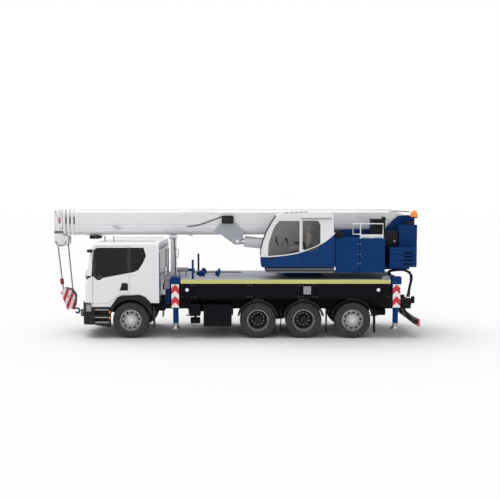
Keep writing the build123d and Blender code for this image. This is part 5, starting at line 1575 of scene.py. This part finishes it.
@dataclass
class Cushion:
    """One padded block, filled out by a short cloth simulation."""

    low: Point
    high: Point
    lean: float = 0.0
    voxel: float = 0.015
    pressure: float = 4.0
    reach: float = 0.014
    frames: int = 20
    rounding: float = 0.024
    seam_reach: float = 0.02
    seam_depth: float = 0.007

    def mesh(self, name: str) -> bpy.types.Object:
        """The blank block, remeshed evenly.

        Args:
            name: what the object is called.

        Returns:
            The object, not yet tied to a body.
        """
        part = bmesh.new()
        bmesh.ops.create_cube(part, size=1.0)
        for vert in part.verts:
            at = [lo + (hi - lo) * (c + 0.5) for lo, hi, c in zip(self.low, self.high, vert.co)]
            at[0] += self.lean * (at[2] - self.low[2])
            vert.co = Vector(at)
        bmesh.ops.bevel(part, geom=part.edges[:], offset=self.rounding, segments=3, profile=0.5,
                        affect="EDGES")
        mesh = bpy.data.meshes.new(name)
        part.to_mesh(mesh)
        part.free()
        piece = bpy.data.objects.new(name, mesh)
        bpy.context.scene.collection.objects.link(piece)
        remesh = piece.modifiers.new("even", "REMESH")
        remesh.mode = "VOXEL"
        remesh.voxel_size = self.voxel
        self.apply(piece)
        return piece

    def apply(self, piece: bpy.types.Object) -> None:
        """Makes the modified mesh the piece's own."""
        graph = bpy.context.evaluated_depsgraph_get()
        mesh = bpy.data.meshes.new_from_object(piece.evaluated_get(graph))
        piece.modifiers.clear()
        old = piece.data
        piece.data = mesh
        bpy.data.meshes.remove(old)

    def fill(self, piece: bpy.types.Object) -> None:
        """Blows the cover up a little and lets it settle, held within reach of the pattern."""
        scene = bpy.context.scene
        start = [v.co.copy() for v in piece.data.vertices]
        cloth = piece.modifiers.new("cloth", "CLOTH")
        cloth.settings.quality = 4
        cloth.settings.mass = 0.3
        cloth.settings.use_pressure = True
        cloth.settings.uniform_pressure_force = self.pressure
        cloth.settings.effector_weights.gravity = 0.0
        cloth.settings.tension_stiffness = 20
        cloth.settings.compression_stiffness = 20
        cloth.settings.bending_stiffness = 2
        for number in range(1, self.frames + 1):
            scene.frame_set(number)
        self.apply(piece)
        scene.frame_set(1)
        for vert, origin in zip(piece.data.vertices, start):
            move = vert.co - origin
            if move.length > self.reach:
                vert.co = origin + move.normalized() * self.reach

    def build(self, name: str, body: str, finish: Finish, stands_for: str, channels: int = 2) -> None:
        """Builds the cushion with its stitched channels.

        Args:
            name: the piece's name.
            body: the body it rides on.
            finish: its cover.
            stands_for: the CAD node it replaces.
            channels: how many seams run across it.
        """
        piece = self.mesh(name)
        self.fill(piece)
        thin = min(range(3), key=lambda i: self.high[i] - self.low[i])
        width = 2 if thin == 0 else 0
        span = self.high[width] - self.low[width]
        seams = [self.low[width] + span * (k + 1) / (channels + 1) for k in range(channels)]
        for vert in piece.data.vertices:
            place = vert.co[width]
            near = min(abs(place - seam) for seam in seams) if seams else 1.0
            if near < self.seam_reach:
                middle = (self.low[thin] + self.high[thin]) / 2
                if thin == 0:
                    middle += self.lean * (vert.co.z - self.low[2])
                sign = 1.0 if vert.co[thin] > middle else -1.0
                vert.co[thin] -= sign * self.seam_depth * (1 - near / self.seam_reach)
        piece.data.materials.clear()
        piece.data.materials.append(finish.material())
        piece.data.shade_smooth()
        smooth = piece.modifiers.new("smooth", "SUBSURF")
        smooth.levels = smooth.render_levels = 1
        self.apply(piece)
        piece.data.shade_smooth()
        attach(piece, body)
        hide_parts(stands_for)
        LOG.info("%s on %s, %d faces", name, body, len(piece.data.polygons))


@dataclass
class Seats:
    """The two truck seats and the operator's seat, on their frames."""

    truck_y: tuple[float, float] = (-0.62, 0.62)

    def truck(self) -> None:
        """Builds the truck seats' cushions and boxes."""
        shape = Shape("cab_seat_frames")
        for y in self.truck_y:
            side = "left" if y < 0 else "right"
            blocks = (
                ("cushion", Cushion((-3.45, y - 0.25, 1.57), (-2.96, y + 0.25, 1.70)), 2),
                ("back", Cushion((-2.985, y - 0.24, 1.705), (-2.875, y + 0.24, 2.20), 0.16), 2),
                ("head", Cushion((-2.885, y - 0.14, 2.205), (-2.80, y + 0.14, 2.29), 0.10), 0),
            )
            for part, cushion, channels in blocks:
                cushion.build(f"cab_seat_{part}_{side}", "chassis", CLOTH, "cab_seats", channels)
            shape.box((-3.40, y - 0.18, 1.341), (-3.00, y + 0.18, 1.565), DARK_TRIM, 0.02)
            shape.box((-3.03, y - 0.20, 1.56), (-2.99, y - 0.17, 1.75), DARK_TRIM, 0.008)
            shape.box((-3.03, y + 0.17, 1.56), (-2.99, y + 0.20, 1.75), DARK_TRIM, 0.008)
        shape.make("chassis", ["cab_seats"], "seat_fabric")

    def operator(self) -> None:
        """Builds the operator's seat."""
        blocks = (
            ("cushion", Cushion((1.62, -1.04, 2.485), (2.07, -0.63, 2.60)), 2),
            ("back", Cushion((2.065, -1.03, 2.605), (2.175, -0.64, 3.02), 0.135), 2),
            ("head", Cushion((2.135, -0.95, 3.035), (2.215, -0.72, 3.165), 0.10), 0),
        )
        for part, cushion, channels in blocks:
            cushion.build(f"operator_seat_{part}", "turntable", BEIGE, "operator_seat", channels)
        shape = Shape("operator_seat_frame")
        shape.box((1.70, -0.98, 2.081), (2.05, -0.69, 2.40), DARK_TRIM, 0.02)
        for i in range(4):
            z, fold = 2.40 + 0.02 * i, 0.006 * (i % 2)
            shape.box((1.69 - fold, -0.97, z), (2.06 + fold, -0.70, z + 0.018), HOSE, 0.005)
        for y in (-1.035, -0.635):
            shape.box((1.75, y - 0.02, 2.70), (2.06, y + 0.02, 2.735), DARK_TRIM, 0.010)
            shape.box((2.02, y - 0.012, 2.52), (2.06, y + 0.012, 2.71), DARK_TRIM, 0.006)
        shape.make("turntable", ["operator_seat"], "seat_fabric")

    def build(self) -> None:
        """Builds all three."""
        self.truck()
        self.operator()


def dress_frame() -> None:
    """Finishes every CAD node that stays in view."""
    dresser = Dresser()
    big = 9.0
    glass_door = [
        Zone(CAB_GLASS, (-3.93, 1.10, 1.79), (-3.0, 1.199, 2.585)),
        Zone(PLASTIC, (-3.21, 1.2115, 1.43), (-3.02, 1.26, 1.6)),
    ]
    dresser.node("cab_shell", CAB_WHITE)
    dresser.several(("cab_door_left", "cab_door_right"), CAB_WHITE, glass_door)
    dresser.node("cab_glass", CAB_GLASS)
    dresser.several(("cab_bumper", "cab_trim"), PLASTIC)
    dresser.node("lamps", PLASTIC, [Zone(RED_LENS, (5.2, 0.0, 0.0), (big, big, big))])
    dresser.node("mudguards", PLASTIC)
    dresser.node("cab_seats", CLOTH)
    dresser.node("cab_dashboard", DARK_TRIM)
    dresser.node("chassis_frame", CHASSIS, [Zone(BLUE, (1.3, 0.0, 1.6995), (2.9, 0.8, 1.9))])
    dresser.several(("axles", "engine", "tail_frame"), CHASSIS)
    dresser.several((f"knuckle_{a}_{s.word}" for a in (1, 4) for s in Side), CHASSIS)
    dresser.node("outrigger_boxes", BLUE)
    for name, middle in (("front_left", -1.65), ("front_right", -1.42), ("rear_left", 4.64),
                         ("rear_right", 4.41)):
        board = Chevrons(f"chevron_board_{name}", RED_RGB, rough=0.35, middle=middle)
        dresser.node(f"beam_{name}", BLUE, [Zone(board, (-big, 1.2541, 0.899), (big, big, 1.5655))])
        dresser.node(f"jack_{name}", STEEL)
    dresser.node("deck", DECK, [Zone(YELLOW, (-big, 1.2, 0.0), (big, big, 1.6992))])
    dresser.several(("skirts", "side_tanks"), SKIRT)
    dresser.node("boom_rest", WHITE)
    dresser.node("deck_fittings", BLUE, [Zone(PANEL_GREY, (-1.7, 0.0, 1.7), (-1.36, 0.5, big))])
    dresser.several(("turntable_frame", "winch_housing", "side_cabinets", "counterweight"), BLUE)
    dresser.node("railing", WHITE)
    dresser.node("oil_cooler", PLASTIC)
    dresser.node("beacon", AMBER_LENS)
    dresser.node("operator_cab", OPERATOR_PAINT)
    dresser.node("operator_glass", CLEAR_GLASS)
    dresser.node("operator_door", OPERATOR_PAINT)
    dresser.node("operator_seat", BEIGE)
    dresser.node("winch_drum", STEEL)
    dresser.node("lift_barrel", WHITE)
    dresser.node("lift_rod", CHROME)
    dresser.node("boom_base", BOOM_WHITE_AND_SHADE)
    dresser.several((f"boom_section_{i}" for i in range(2, 5)), WHITE)
    dresser.node("boom_section_5", HEAD_PAINT_AND_SHADE)


def main() -> None:
    """Builds the classes in order."""
    logging.basicConfig(level=logging.INFO, format="%(name)s: %(message)s")
    Studio().build()
    dress_frame()
    Wheels().build()
    TruckCab().build()
    DeckSide().build()
    Boom().build()
    HookBlock().build()
    OperatorCab().build()
    Superstructure().build()
    Seats().build()


if __name__ == "__main__":
    main()
